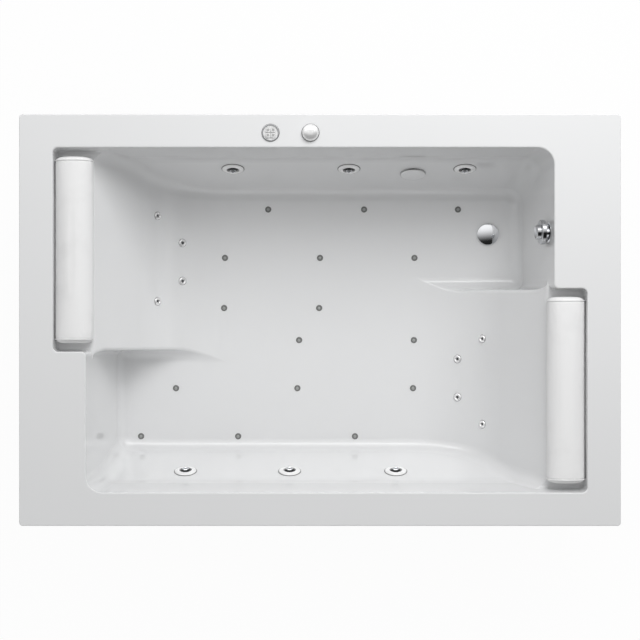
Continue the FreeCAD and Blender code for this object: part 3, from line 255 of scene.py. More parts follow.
def acrylic(colours):
    """Polished cast acrylic on the side that is seen, rolled glass fibre laminate on the other."""
    p = paint("acrylic_shell")
    height = p.place().part("Z")
    facing = p.normal().part("Z")
    under = facing.ease(-0.012, -0.004, 1.0, 0.0) * height.ease(0.588, 0.592, 1.0, 0.0)
    cloud = p.noise(2.2, 2.0)
    speck = p.noise(160.0, 2.0)
    strands = p.noise(34.0, 5.0, 0.75, p.stretched((9.0, 1.0, 2.0), (0, 0, 0.6)), 1.4)
    across = p.noise(34.0, 5.0, 0.75, p.stretched((1.0, 9.0, 2.0), (0, 0, 0.9)), 1.4)
    mat = strands.most(across)
    gloss = p.mix(colours.acrylic, [c * 0.97 for c in colours.acrylic], cloud)
    resin = p.mix(colours.laminate, [c * 1.35 for c in colours.laminate], mat.ease(0.4, 0.75))
    wavy = p.bump(p.noise(5.0, 2.0), 0.0010, 0.25)
    peel = p.bump(speck, 0.00005, 0.35, wavy)
    glass = p.bump(mat + 0.4 * p.noise(9.0, 3.0), 0.0016, 0.9)
    return p.surface(
        Base_Color=p.mix(gloss, resin, under),
        Roughness=under * 0.42 + speck.ease(0.3, 0.8, 0.10, 0.15),
        Coat_Weight=0.55 - under * 0.5,
        Coat_Roughness=0.035,
        Normal=p.node("ShaderNodeMix", {"data_type": "VECTOR"}, {0: under, 4: peel, 5: glass}, 1),
    )


def moulded(name, colour, roughness=0.28, grain=420.0, depth=0.00006, coat=0.0):
    """Injection moulded plastic: fine spark texture and faint flow shading."""
    p = paint(name)
    fine = p.noise(grain, 2.0)
    flow = p.noise(14.0, 3.0, 0.5, None, 0.6)
    return p.surface(
        Base_Color=p.shaded(colour, flow.ease(0.35, 0.75), 0.07),
        Roughness=fine.ease(0.3, 0.75, roughness - 0.05, roughness + 0.07),
        Coat_Weight=coat,
        Coat_Roughness=0.06,
        Normal=p.bump(fine, depth, 0.6, p.bump(flow, 0.0003, 0.25)),
    )


def plated(name, colour, roughness=0.06, metal=1.0):
    """Chrome plating: a faint haze and hairline wiping marks."""
    p = paint(name)
    haze = p.noise(26.0, 4.0, 0.6)
    wiped = p.noise(90.0, 3.0, 0.6, p.stretched((1.0, 14.0, 1.0), (0.2, 0.3, 0.7)))
    return p.surface(
        Base_Color=p.shaded(colour, haze.ease(0.45, 0.8), 0.06),
        Metallic=metal,
        Roughness=(
            haze.ease(0.3, 0.8, roughness, roughness + 0.03) + wiped.ease(0.6, 0.85, 0.0, 0.02)
        ),
        Normal=p.bump(wiped, 0.000006, 0.3),
    )


def galvanised():
    """Hot dipped steel: spangle grains, each with its own grey, and dull runs."""
    p = paint("galvanised_steel")
    grain = p.cells(95.0, "F1", "Color").part("X")
    edge = p.cells(95.0, "DISTANCE_TO_EDGE")
    run = p.noise(7.0, 4.0, 0.6, p.stretched((1.0, 1.0, 0.25)))
    colour = p.mix((0.36, 0.38, 0.40), (0.60, 0.62, 0.64), grain * 0.8 + run * 0.2)
    return p.surface(
        Base_Color=colour,
        Metallic=0.85,
        Roughness=grain.ease(0.0, 1.0, 0.30, 0.48) + run.ease(0.5, 0.8, 0.0, 0.12),
        Normal=p.bump(edge.ease(0.0, 0.05), 0.0001, 0.5),
    )


def zinc():
    """Bright zinc plating on small steel parts: turning lines and pale bloom."""
    p = paint("zinc_plate")
    bloom = p.noise(60.0, 4.0, 0.65)
    lines = (p.place().part("Z") * 5200.0).wave()
    return p.surface(
        Base_Color=p.mix((0.52, 0.53, 0.55), (0.70, 0.70, 0.66), bloom.ease(0.4, 0.75)),
        Metallic=0.95,
        Roughness=bloom.ease(0.3, 0.8, 0.20, 0.38),
        Normal=p.bump(lines, 0.00002, 0.4),
    )


def pipe_plastic(name, colour, roughness=0.35):
    """Extruded pipe: long faint draw lines and handling scuffs."""
    p = paint(name)
    drawn = p.noise(50.0, 3.0, 0.6, p.stretched((0.12, 1.0, 1.0)))
    scuff = p.noise(24.0, 5.0, 0.7, None, 1.0)
    return p.surface(
        Base_Color=p.shaded(colour, scuff.ease(0.52, 0.75), 0.16),
        Roughness=scuff.ease(0.4, 0.8, roughness, roughness + 0.2),
        Normal=p.bump(drawn, 0.0002, 0.3),
    )


def braided_hose():
    """Soft clear hose with its crossed reinforcing threads."""
    p = paint("clear_hose")
    there = p.place()
    along = there.part("X") + there.part("Z")
    beside = there.part("Y")
    one = ((along + beside) * 1500.0).wave()
    two = ((along - beside) * 1500.0).wave()
    thread = one.most(two).ease(0.72, 0.97)
    return p.surface(
        Base_Color=p.mix((0.62, 0.66, 0.68), (0.86, 0.87, 0.86), thread),
        Roughness=thread.ease(0.0, 1.0, 0.14, 0.42),
        Coat_Weight=0.4,
        Coat_Roughness=0.05,
        Normal=p.bump(thread, 0.0003, 0.7),
    )


def upholstery(colours):
    """Smooth coated cloth of the pillows: fine pebble grain and soft creases."""
    p = paint("pillow_cover")
    pebble = p.cells(520.0, "SMOOTH_F1")
    crease = p.noise(16.0, 4.0, 0.6, p.stretched((2.2, 0.7, 2.2)), 0.8)
    soil = p.noise(9.0, 3.0)
    return p.surface(
        Base_Color=p.shaded(colours.pillow, soil.ease(0.45, 0.75), 0.05),
        Roughness=pebble.ease(0.1, 0.6, 0.42, 0.54),
        Sheen_Weight=0.12,
        Sheen_Roughness=0.45,
        Normal=p.bump(pebble, 0.00012, 0.35, p.bump(crease, 0.0015, 0.18)),
    )


def board():
    """Film faced plywood: long grain under a thin brown film, with knots."""
    p = paint("plywood_board")
    grain = p.noise(11.0, 6.0, 0.65, p.stretched((0.35, 3.4, 3.4)), 0.8)
    fibre = p.noise(140.0, 3.0, 0.7, p.stretched((0.08, 1.0, 1.0)))
    round_knot = p.cells(3.2, "SMOOTH_F1", "Distance", p.stretched((1.0, 1.9, 1.0)))
    knot = round_knot.ease(0.03, 0.10, 1.0, 0.0)
    colour = p.mix((0.42, 0.27, 0.14), (0.64, 0.46, 0.28), grain.ease(0.3, 0.7))
    return p.surface(
        Base_Color=p.mix(colour, (0.22, 0.12, 0.06), knot * 0.8 + fibre.ease(0.6, 0.8) * 0.25),
        Roughness=grain.ease(0.2, 0.8, 0.50, 0.66),
        Normal=p.bump(fibre, 0.0002, 0.5),
    )


def painted_motor():
    """Stove enamel on the motor casings, worn thin on proud edges."""
    p = paint("motor_enamel")
    peel = p.noise(240.0, 2.0)
    wear = p.noise(30.0, 5.0, 0.7).ease(0.62, 0.72)
    dust = p.normal().part("Z").ease(0.2, 1.0) * p.noise(18.0, 4.0).ease(0.3, 0.8)
    colour = p.mix((0.10, 0.12, 0.14), (0.30, 0.30, 0.28), dust * 0.45)
    return p.surface(
        Base_Color=p.mix(colour, (0.42, 0.42, 0.42), wear * 0.35),
        Metallic=wear * 0.5,
        Roughness=peel.ease(0.3, 0.8, 0.38, 0.50),
        Normal=p.bump(peel, 0.00015, 0.5),
    )


def dress(material, *names):
    """Gives CAD nodes their finish."""
    for name in names:
        for place in NODES[name].material_slots:
            place.material = material


# ---------------------------------------------------------------- modelling


def mode(name):
    bpy.ops.object.mode_set(mode=name)


def link(item):
    bpy.context.scene.collection.objects.link(item)


def clear_selection():
    if bpy.context.mode != "OBJECT":
        mode("OBJECT")
    bpy.ops.object.select_all(action="DESELECT")


def only(piece):
    clear_selection()
    piece.select_set(True)
    bpy.context.view_layer.objects.active = piece
    return piece


def settle(piece, material, body):
    """Puts the place into the mesh, gives the finish and seats the piece on its body."""
    only(piece)
    bpy.ops.object.transform_apply(location=True, rotation=True, scale=True)
    piece.data.materials.clear()
    piece.data.materials.append(material)
    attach(piece, body)
    return piece


def apply_modifiers(piece):
    only(piece)
    for modifier in list(piece.modifiers):
        bpy.ops.object.modifier_apply(modifier=modifier.name)


def twin(piece, name, matrix):
    """A copy with its own mesh, moved or turned by the matrix."""
    other = piece.copy()
    other.data = piece.data.copy()
    other.name = name
    link(other)
    other.data.transform(matrix)
    return other


def raised(name, rings, sides=72, hollow=False, angle=38):
    """Raises a round piece ring by ring. A ring is its radius and its height, in millimetres."""
    clear_selection()
    radius, height = rings[0]
    bpy.ops.mesh.primitive_circle_add(
        vertices=sides, radius=radius * MM, fill_type="NOTHING" if hollow else "NGON",
        location=(0, 0, height * MM),
    )
    piece = bpy.context.view_layer.objects.active
    piece.name = name
    mode("EDIT")
    bpy.ops.mesh.select_all(action="SELECT")
    for wide, high in rings[1:]:
        rise = (0, 0, (high - height) * MM)
        bpy.ops.mesh.extrude_region_move(TRANSFORM_OT_translate={"value": rise})
        share = wide / radius
        bpy.ops.transform.resize(value=(share, share, 1), center_override=(0, 0, 0))
        radius, height = wide, high
    close_up()
    mode("OBJECT")
    bpy.ops.object.transform_apply(location=True, rotation=True, scale=True)
    bpy.ops.object.shade_smooth_by_angle(angle=radians(angle))
    return piece


def close_up():
    """In edit mode: joins what coincides and turns every face outwards."""
    bpy.ops.mesh.select_all(action="SELECT")
    bpy.ops.mesh.remove_doubles(threshold=MERGED)
    bpy.ops.mesh.normals_make_consistent(inside=False)


def crown(radius, low, high, steps=10, fullness=2.0):
    """Rings of a smooth dome from its foot to its top."""
    rings = []
    for step in range(steps + 1):
        share = 1 - (step / steps) ** 1.4
        rings.append((radius * share, high - (high - low) * share ** fullness))
    return rings


def standing(place, axis):
    """Stands a piece made on the ground at a place, with its height along the axis."""
    return Matrix.Translation(place) @ Vector(axis).to_track_quat("Z", "Y").to_matrix().to_4x4()


def islands(whole):
    """The separate solids of a merged mesh, each as a list of its faces."""
    left = set(whole.faces)
    found = []
    while left:
        wave = [left.pop()]
        group = []
        while wave:
            face = wave.pop()
            group.append(face)
            for corner in face.verts:
                for other in corner.link_faces:
                    if other in left:
                        left.discard(other)
                        wave.append(other)
        found.append(group)
    return found


def flat_seats(node):
    """Where each fitting of a node sits and which way it faces, from the flat that it sits on."""
    whole = bmesh.new()
    whole.from_mesh(NODES[node].data)
    bmesh.ops.remove_doubles(whole, verts=whole.verts, dist=MERGED)
    whole.faces.index_update()
    seats = []
    for group in islands(whole):
        flats = {}
        for face in sorted(group, key=lambda face: face.index):
            key = tuple(round(part, 2) for part in face.normal)
            flats.setdefault(key, []).append(face)
        base = max(flats.values(), key=lambda faces: sum(face.calc_area() for face in faces))
        area = sum(face.calc_area() for face in base)
        weighed = [face.calc_center_median() * face.calc_area() for face in base]
        seats.append((sum(weighed, Vector()) / area, -base[0].normal))
    whole.free()
    return sorted(seats, key=lambda seat: (round(seat[0].y, 3), round(seat[0].x, 3)))


def discard(*models):
    for model in models:
        mesh = model.data
        bpy.data.objects.remove(model)
        bpy.data.meshes.remove(mesh)


def install(model, name, matrix, material, body, slot, *nodes):
    """A copy of the model at its place, on its body, in its finish."""
    piece = settle(twin(model, name, matrix), material, body)
    if nodes:
        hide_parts(*nodes)
    return piece


def second_finish(piece, material, test):
    """Faces that pass the test take a second finish."""
    piece.data.materials.append(material)
    for face in piece.data.polygons:
        if test(face):
            face.material_index = 1


def open_with(piece, test):
    """Opens the piece for editing with the faces that pass the test selected."""
    only(piece)
    mode("EDIT")
    bpy.ops.mesh.select_all(action="DESELECT")
    mode("OBJECT")
    for face in piece.data.polygons:
        face.select = test(face)
    mode("EDIT")


def sunk(piece, test, margin, depth):
    """Sinks each face that passes the test on its own, and gives the faces at the bottom."""
    open_with(piece, test)
    bpy.ops.mesh.inset(thickness=margin, use_individual=True)
    bpy.ops.mesh.extrude_region_shrink_fatten(TRANSFORM_OT_shrink_fatten={"value": -depth})
    mode("OBJECT")
    return {face.index for face in piece.data.polygons if face.select}


def tinted(colour, share):
    return [part * share for part in colour]


def grey(level):
    return (level, level, level)


def centre(node):
    """The middle of a CAD node's box."""
    low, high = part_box(node)
    return (low + high) / 2


# ---------------------------------------------------------------- pillows

HELD_FOOT = 14 * MM  # the lowest part of a cover, which keeps its place as the cover fills
CROWN_ROOM = 8 * MM  # the furthest that a crown stands over its solid
SIDE_ROOM = 0.1 * MM  # kept free beside a filled cover
SQUARED = 0.075  # length of each end that is drawn out straight
SHOULDER = 0.3  # share of the height from which the shoulders fill out
SHOULDER_GROWTH = 0.16
CROWN_GROWTH = 0.09
NEAR_SEAM = 0.6  # a point this near a seam is held, as a share of the weave
FLAT_END = 0.97  # the end's own points face along the pillow by at least this much
FILLED_END = 0.93  # the same, once the cover is filled
END_DEPTH = 1.5 * MM  # how far inside its seam an end still reaches
PIPING_INSIDE = 5 * MM  # how far inside its seam the line of the piping is taken
PIPING_SUNK = 0.2  # how deep the piping lies in the cover, as a share of its radius


def filled_pillow(name, node, sizes):
    """A pillow cover filled like a real one, from the room that its solid holds."""
    low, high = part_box(node)
    ends = (low.y + sizes.pillow_seam, high.y - sizes.pillow_seam)
    piece = flat_ended(name, node, ends)
    base = Vector(((low.x + high.x) / 2, 0, low.z))
    height = high.z - low.z
    reach = (high.x - low.x) / 2 - sizes.pillow_slack
    for corner in piece.data.vertices:
        away = corner.co - base
        share = away.z / height
        fuller = 1 + SHOULDER_GROWTH * max(0.0, share - SHOULDER)
        away.x = min(max(away.x * fuller, -reach), reach)
        corner.co = base + Vector((away.x, away.y, away.z * (1 + CROWN_GROWTH * share)))
    remesh = piece.modifiers.new("even", "REMESH")
    remesh.mode = "VOXEL"
    remesh.voxel_size = sizes.pillow_weave
    apply_modifiers(piece)
    before = [corner.co.copy() for corner in piece.data.vertices]
    held = []
    for corner in piece.data.vertices:
        at_end = min(abs(corner.co.y - end) for end in ends) < NEAR_SEAM * sizes.pillow_weave
        if corner.co.z < low.z + HELD_FOOT or (at_end and abs(corner.normal.y) < FLAT_END):
            held.append(corner.index)
    fill(piece, sizes, held)
    for corner, rest in zip(piece.data.vertices, before):
        moved = corner.co - rest
        if moved.length > sizes.pillow_swell:
            moved *= sizes.pillow_swell / moved.length
        corner.co = rest + moved
        corner.co.x = min(max(corner.co.x, low.x + SIDE_ROOM), high.x - SIDE_ROOM)
        corner.co.z = min(max(corner.co.z, low.z), high.z + CROWN_ROOM)
    swell_ends(piece, ends, sizes)
    return piece


def swell_ends(piece, ends, sizes):
    """Rounds the two ends of the cover out past their seams, steeply at first and then flat."""
    for end, side in zip(ends, (-1, 1)):
        cap, rim = [], []
        for corner in piece.data.vertices:
            if (corner.co.y - end) * side > -END_DEPTH:
                (cap if corner.normal.y * side > FILLED_END else rim).append(corner)
        tree = KDTree(len(rim))
        for index, corner in enumerate(rim):
            tree.insert(corner.co, index)
        tree.balance()
        for corner in cap:
            near = tree.find(corner.co)[2]
            share = 1 - min(near / sizes.pillow_roll, 1.0)
            corner.co.y += side * sizes.pillow_bulge * (1 - share * share) ** 0.5
        for corner in rim:
            corner.co -= corner.normal * sizes.piping


def flat_ended(name, node, ends):
    """A copy of the pillow's solid, its two ends squared off where the cover is sewn."""
    piece = NODES[node].copy()
    piece.data = NODES[node].data.copy()
    piece.name = name
    piece.parent = None
    for key in list(piece.keys()):
        del piece[key]
    link(piece)
    only(piece)
    mode("EDIT")
    bpy.ops.mesh.select_all(action="SELECT")
    bpy.ops.mesh.remove_doubles(threshold=2 * MERGED)
    for end, side in zip(ends, (-1, 1)):
        cut = end - side * SQUARED
        bpy.ops.mesh.select_all(action="SELECT")
        bpy.ops.mesh.bisect(
            plane_co=(0, cut, 0), plane_no=(0, side, 0), use_fill=True, clear_outer=True,
        )
        bpy.ops.mesh.extrude_region_move(TRANSFORM_OT_translate={"value": (0, end - cut, 0)})
    close_up()
    mode("OBJECT")
    return piece


def fill(piece, sizes, held):
    group = piece.vertex_groups.new(name="sewn")
    group.add(held, 1.0, "REPLACE")
    cloth = piece.modifiers.new("filling", "CLOTH")
    cloth.settings.quality = 6
    cloth.settings.mass = 0.3
    cloth.settings.tension_stiffness = 20
    cloth.settings.compression_stiffness = 20
    cloth.settings.bending_stiffness = 0.6
    cloth.settings.use_pressure = True
    cloth.settings.uniform_pressure_force = 4.0
    cloth.settings.effector_weights.gravity = 0
    cloth.settings.vertex_group_mass = "sewn"
    cloth.collision_settings.use_collision = False
    for step in range(1, sizes.steps + 1):
        bpy.context.scene.frame_set(step)
    apply_modifiers(piece)
    piece.vertex_groups.clear()
    bpy.context.scene.frame_set(1)


def outline_at(piece, y):
    """The closed line along which the plane at y cuts the piece, as a list of points."""
    cut = bmesh.new()
    cut.from_mesh(piece.data)
    geometry = cut.verts[:] + cut.edges[:] + cut.faces[:]
    found = bmesh.ops.bisect_plane(cut, geom=geometry, plane_co=(0, y, 0), plane_no=(0, 1, 0))
    links = {}
    for edge in found["geom_cut"]:
        if isinstance(edge, bmesh.types.BMEdge):
            one, two = edge.verts
            links.setdefault(one, []).append(two)
            links.setdefault(two, []).append(one)
    first = max(links, key=lambda corner: corner.co.z)
    path = [first]
    came, here = None, first
    while True:
        ahead = [corner for corner in links[here] if corner is not came]
        if not ahead or ahead[0] is first:
            break
        came, here = here, ahead[0]
        path.append(here)
    points = [corner.co.copy() for corner in path]
    cut.free()
    return points


def piping_ring(name, pillow, end, side, radius, low_z):
    """A round cord of cover cloth sewn along the edge of one end of the pillow."""
    points = outline_at(pillow, end - side * PIPING_INSIDE)[::3]
    middle = sum(points, Vector()) / len(points)
    line = bpy.data.curves.new(name, "CURVE")
    line.dimensions = "3D"
    line.bevel_depth = radius
    line.bevel_resolution = 3
    line.resolution_u = 3
    spline = line.splines.new("NURBS")
    spline.points.add(len(points) - 1)
    for point, place in zip(spline.points, points):
        place += (middle - place).normalized() * PIPING_SUNK * radius
        point.co = (place.x, end, max(place.z, low_z + radius), 1.0)
    spline.use_cyclic_u = True
    spline.order_u = 4
    holder = bpy.data.objects.new(name, line)
    link(holder)
    only(holder)
    bpy.ops.object.convert(target="MESH")
    return bpy.context.view_layer.objects.active


def soften(piece):
    smooth = piece.modifiers.new("smooth", "SUBSURF")
    smooth.levels = 1
    smooth.render_levels = 1
    apply_modifiers(piece)
    only(piece)
    bpy.ops.object.shade_smooth()


# ---------------------------------------------------------------- operators


class TUB_OT_shell_finish(bpy.types.Operator):
    """Give the shell its polished and laminated sides"""

    bl_idname = "tub.shell_finish"
    bl_label = "Shell finish"

    def execute(self, context):
        dress(acrylic(context.scene.tub_colours), "shell")
        return {"FINISHED"}


class TUB_OT_fitting_finishes(bpy.types.Operator):
    """Give the jets, drain, overflow and controls their plastics and chrome"""

    bl_idname = "tub.fitting_finishes"
    bl_label = "Fitting finishes"

    def execute(self, context):
        colours = context.scene.tub_colours
        white = moulded("white_trim", colours.trim, 0.20, 380.0, 0.00004, 0.3)
        chrome = plated("chrome_plate", colours.chrome)
        dress(white, "jet_rings", "back_jet_rings", "suction_cover")
        dress(moulded("air_cap_plastic", (0.62, 0.63, 0.64), 0.26), "air_jet_caps")
        dress(chrome, "drain_plug", "drain_flange", "overflow_knob", "overflow_flange")
        dress(chrome, "keypad_bezel", "air_regulator_knob", "air_regulator_base")
        dress(chrome, *(f"jet_nozzle_{number}" for number in JETS))
        dress(moulded("keypad_plastic", grey(0.84), 0.30), "keypad_body")
        rubber = moulded("key_rubber", (0.74, 0.75, 0.76), 0.40, 600.0, 0.00008)
        dress(rubber, *(f"keypad_button_{number}" for number in KEYS))
        plastic = moulded("fitting_plastic", (0.50, 0.51, 0.52), 0.38)
        dress(plastic, "jet_bodies", "jet_lock_nuts", "suction_body")
        dress(plastic, "back_jet_bodies", "air_jet_valves")
        return {"FINISHED"}


class TUB_OT_pipework_finishes(bpy.types.Operator):
    """Give the pipes, hoses and waste their plastics"""

    bl_idname = "tub.pipework_finishes"
    bl_label = "Pipework finishes"

    def execute(self, context):
        white = pipe_plastic("white_pipe", (0.74, 0.74, 0.73), 0.30)
        dress(white, "pressure_pipes", "suction_pipe")
        dress(pipe_plastic("grey_pipe", (0.47, 0.48, 0.50)), "air_pipes", "blower_pipe")
        waste = pipe_plastic("waste_pipe", (0.66, 0.66, 0.65), 0.32)
        dress(waste, "overflow_pipe", "drain_trap", "overflow_body")
        dress(braided_hose(), "venturi_line", "back_jet_hoses")
        return {"FINISHED"}


class TUB_OT_machine_finishes(bpy.types.Operator):
    """Give the pump, blower and control box their casings"""

    bl_idname = "tub.machine_finishes"
    bl_label = "Machine finishes"

    def execute(self, context):
        black = moulded("black_plastic", (0.025, 0.026, 0.028), 0.42, 300.0, 0.00012)
        dress(black, "pump_volute", "pump_cradle", "pump_terminal_box")
        dress(black, "control_box_gland", "foot_pads")
        scroll = moulded("blower_plastic", (0.07, 0.075, 0.08), 0.45, 260.0, 0.00012)
        dress(scroll, "blower_housing")
        dress(painted_motor(), "pump_motor", "blower_motor")
        dress(moulded("box_plastic", (0.52, 0.53, 0.53), 0.45, 260.0, 0.00014), "control_box")
        return {"FINISHED"}


class TUB_OT_frame_finishes(bpy.types.Operator):
    """Give the frame, feet and boards their steel and wood"""

    bl_idname = "tub.frame_finishes"
    bl_label = "Frame finishes"

    def execute(self, context):
        steel = galvanised()
        dress(steel, "base_side_tubes", "base_cross_tubes", "top_rails", "uprights")
        dress(steel, "control_box_plate")
        dress(zinc(), "foot_stems", "foot_lock_nuts", "pillow_studs")
        dress(board(), "floor_stiffener", "equipment_boards")
        return {"FINISHED"}


class TUB_OT_water_jets(bpy.types.Operator):
    """Make the six water jets: escutcheon, eyeball painted near-black as shade in the opening, and
    bright nozzle
    """

    bl_idname = "tub.water_jets"
    bl_label = "Water jets"

    BALL = 19.6  # radius of the eyeball, in millimetres
    SUNK = 6  # how deep its middle lies under the escutcheon's foot, in millimetres

    def execute(self, context):
        colours = context.scene.tub_colours
        white = moulded("jet_trim", colours.trim, 0.16, 380.0, 0.00003, 0.5)
        # painted shade: the eyeball is coloured near-black so that the jet's opening reads as dark
        dark = moulded("jet_socket_painted_shade", (0.02, 0.021, 0.023), 0.22, 300.0, 0.00003, 0.3)
        rubber = moulded("water_jet_seal", grey(0.16), 0.5, 500.0, 0.00004)
        chrome = plated("jet_chrome", colours.chrome)
        thread = [(26.0 - 0.7 * (turn % 2), -26.5 + 0.9 * turn) for turn in range(14)]
        ring = raised("jet_ring_model", [
            (20.4, -28), (25.4, -28), *thread, (26, -14), (26, 0), (36.2, 0), (36.5, 0.4),
            (36.5, 2.0), (36.2, 3.0), (35.4, 3.9), (33.6, 4.8), (30.5, 5.7), (27, 6.3),
            (24.4, 6.6), (22.4, 6.6), (21.2, 6.3), (20.3, 5.6), (19.9, 4.6), (20.0, 3.4),
            (20.4, 2.4), (20.4, -28),
        ], hollow=True)
        seal = raised("jet_seal_model", [
            (34, 0), (38.2, 0), (38.6, 0.4), (38.4, 1.2), (37.6, 1.5), (34, 1.5), (34, 0),
        ], hollow=True)
        belt = [
            (self.BALL * cos(radians(tilt)), self.BALL * sin(radians(tilt)) - self.SUNK)
            for tilt in (-37, -25, -12, 0, 10, 21)
        ]
        ball = raised("jet_ball_model", [
            (5, -17.9), (14, -18), *belt, (17.8, 1.4), (16.0, 0.0), (13.4, -1.6), (10.5, -2.6),
            (8, -3.0), (5, -3.1), (5, -17.9),
        ], hollow=True)
        tip = raised("jet_tip_model", [
            (6.4, -5), (9.2, -5), (9.4, 4.4), (10.4, 6.6), (11.2, 8.6), (11.2, 10.2),
            (10.4, 11.2), (9.0, 11.3), (7.6, 10.4), (6.8, 8.6), (6.4, 6.0), (6.4, -5),
        ], hollow=True, sides=48)
        for number in JETS:
            joint = JOINTS[f"jet_aim_{number}"]
            inward = Vector((1, 0, 0)).cross(Vector(joint["axis"]))
            if inward.z < 0:
                inward.negate()
            at = standing(Vector(joint["pos_m"]) + inward * self.SUNK * MM, inward)
            body = joint["child"]
            node = f"jet_nozzle_{number}"
            install(ring, f"jet_escutcheon_{number}", at, white, "tub", "jet_plastic", "jet_rings")
            install(seal, f"jet_seal_{number}", at, rubber, "tub", "black_plastic")
            # the eyeball takes the near-black painted shade
            install(ball, f"jet_eyeball_{number}", at, dark, body, "chrome", node)
            install(tip, f"jet_tip_{number}", at, chrome, body, "chrome", node)
        discard(ring, seal, ball, tip)
        return {"FINISHED"}


class TUB_OT_small_jets(bpy.types.Operator):
    """Make the micro jets of the backrests and the air jets of the floor"""

    bl_idname = "tub.small_jets"
    bl_label = "Micro and air jets"

    PALE_MIDDLE = 5.2 * MM

    def execute(self, context):
        colour = context.scene.tub_colours.air_cap
        bright = plated("micro_jet_chrome", grey(0.98), 0.16, 0.55)
        rubber = moulded("jet_seal", grey(0.16), 0.5, 500.0, 0.00004)
        rim = moulded("air_cap_ring", colour, 0.30, 300.0, 0.00005, 0.2)
        pale = moulded("air_cap_centre", tinted(colour, 2.0), 0.30, 300.0, 0.00005, 0.2)
        ring = raised("micro_ring_model", [
            (5, 0), (13.2, 0), (13.5, 0.4), (13.5, 1.4), (13.1, 2.5), (12.2, 3.5), (10.8, 4.2),
            (9.2, 4.4), (7.8, 4.1), (6.6, 3.3), (5.6, 2.2), (5, 1.2), (5, 0),
        ], hollow=True, sides=56)
        seal = raised("micro_seal_model", [
            (12, 0), (14.1, 0), (14.4, 0.3), (14.2, 0.8), (13.4, 0.9), (12, 0.9), (12, 0),
        ], hollow=True, sides=56)
        for number, (place, inward) in enumerate(flat_seats("back_jet_rings"), 1):
            at = standing(place, inward)
            name = f"micro_jet_ring_{number}"
            install(ring, name, at, bright, "tub", "jet_plastic", "back_jet_rings")
            install(seal, f"micro_jet_seal_{number}", at, rubber, "tub", "black_plastic")
        cap = raised("air_cap_model", [
            (10.5, 0), (10.8, 0.3), (10.8, 0.9), (10.3, 1.6), (9.2, 2.2), (7.8, 2.5), (6.4, 2.3),
            (5.2, 1.6), (4.4, 1.2), (3.6, 1.3), (2.4, 1.8), (1.2, 2.0), (0, 2.05),
        ], sides=40)
        for number, (place, inward) in enumerate(flat_seats("air_jet_caps"), 1):
            at = standing(place, inward)
            piece = install(cap, f"air_cap_{number}", at, rim, "tub", "air_cap", "air_jet_caps")
            second_finish(
                piece, pale, lambda face: (face.center - place).length < self.PALE_MIDDLE
            )
        discard(ring, seal, cap)
        return {"FINISHED"}


class TUB_OT_suction(bpy.types.Operator):
    """Make the low suction cover with the sunk slots in its side, their bottoms in painted shade"""

    bl_idname = "tub.suction"
    bl_label = "Suction cover"

    BEHIND = 6  # from the middle of the cover's solid to its foot, in millimetres
    PANELS = 72  # round the side of the cover

    def execute(self, context):
        inward = flat_seats("suction_cover")[0][1]
        if inward.z < 0:
            inward.negate()
        at = standing(centre("suction_cover") - inward * self.BEHIND * MM, inward)
        cover = raised("suction_model", [
            (1, 9.0), (28, 9.0), (36, 7.6), (39.5, 6.6), (39.5, 0), (42.5, 0), (42.5, 0.8),
            (42.5, 8.0), (42.1, 8.9), (41.1, 9.7), (39.6, 10.3), *crown(37.4, 10.8, 12.0, 8),
        ], sides=self.PANELS)
        deep = sunk(cover, self.is_slot, 0.2 * MM, 2.9 * MM)
        white = moulded(
            "suction_trim", context.scene.tub_colours.acrylic, 0.14, 380.0, 0.00003, 0.5
        )
        # painted shade: the bottoms of the shallow sunk slots are near-black, standing in for the
        # dark inside of open slots
        dark = moulded("suction_slots_painted_shade", grey(0.03), 0.5)
        piece = install(cover, "suction_lid", at, white, "tub", "jet_plastic", "suction_cover")
        second_finish(piece, dark, lambda face: face.index in deep)
        discard(cover)
        return {"FINISHED"}

    def is_slot(self, face):
        """Two of each three panels round the side of the cover are sunk, with painted shade at
        their bottoms.
        """
        at = face.center
        turn = at.xy.angle_signed(Vector((1, 0))) / (2 * pi) + 1
        panel = round(turn * self.PANELS - 0.5)
        return at.xy.length > 42 * MM and 1 * MM < at.z < 7.8 * MM and panel % 3 != 0


class TUB_OT_waste(bpy.types.Operator):
    """Make the domed drain cover and the stepped overflow knob"""

    bl_idname = "tub.waste"
    bl_label = "Drain cover and overflow"

    DOME = 12.6  # height of the drain cover's model, in millimetres

    def execute(self, context):
        colour = context.scene.tub_colours.chrome
        chrome = plated("waste_chrome", colour)
        cover = raised("drain_cover_model", [
            (3.2, -30.6), (4, -30), (4, 3.4), (30, 3.4), (36.8, 3.5), (37.4, 3.9), (37.5, 4.5),
            (37.5, 7.6), (37.2, 8.2), (36.7, 8.6), *crown(36.2, 8.8, self.DOME, 16),
        ], sides=96)
        middle = centre("drain_plug")
        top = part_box("drain_plug")[1].z
        at = Matrix.Translation((middle.x, middle.y, top - self.DOME * MM))
        install(cover, "drain_cover", at, chrome, "drain_plug_body", "chrome", "drain_plug")
        knob = raised("overflow_model", [
            (6, -13.8), (6, 11), (10, 11.4), (10, 23), (36, 23), (36.4, 14.5), (37, 14),
            (39.4, 14), (40, 14.6), (40, 24.4), (39.6, 25.8), (38.5, 27), (36.8, 27.8),
            (34.6, 28.1), (25.4, 28.2), (24.4, 28.6), (24, 29.6), (24, 37.2), (23.6, 38.8),
            (22.6, 40), (21, 40.7), *crown(19, 40.9, 41, 4),
        ], sides=96)
        turn = JOINTS["overflow_turn"]
        at = standing(Vector(turn["pos_m"]), turn["axis"])
        smoky = plated("overflow_chrome", tinted(colour, 0.68), 0.05)
        name = "overflow_turning_knob"
        install(knob, name, at, smoky, turn["child"], "chrome", "overflow_knob")
        discard(cover, knob)
        return {"FINISHED"}


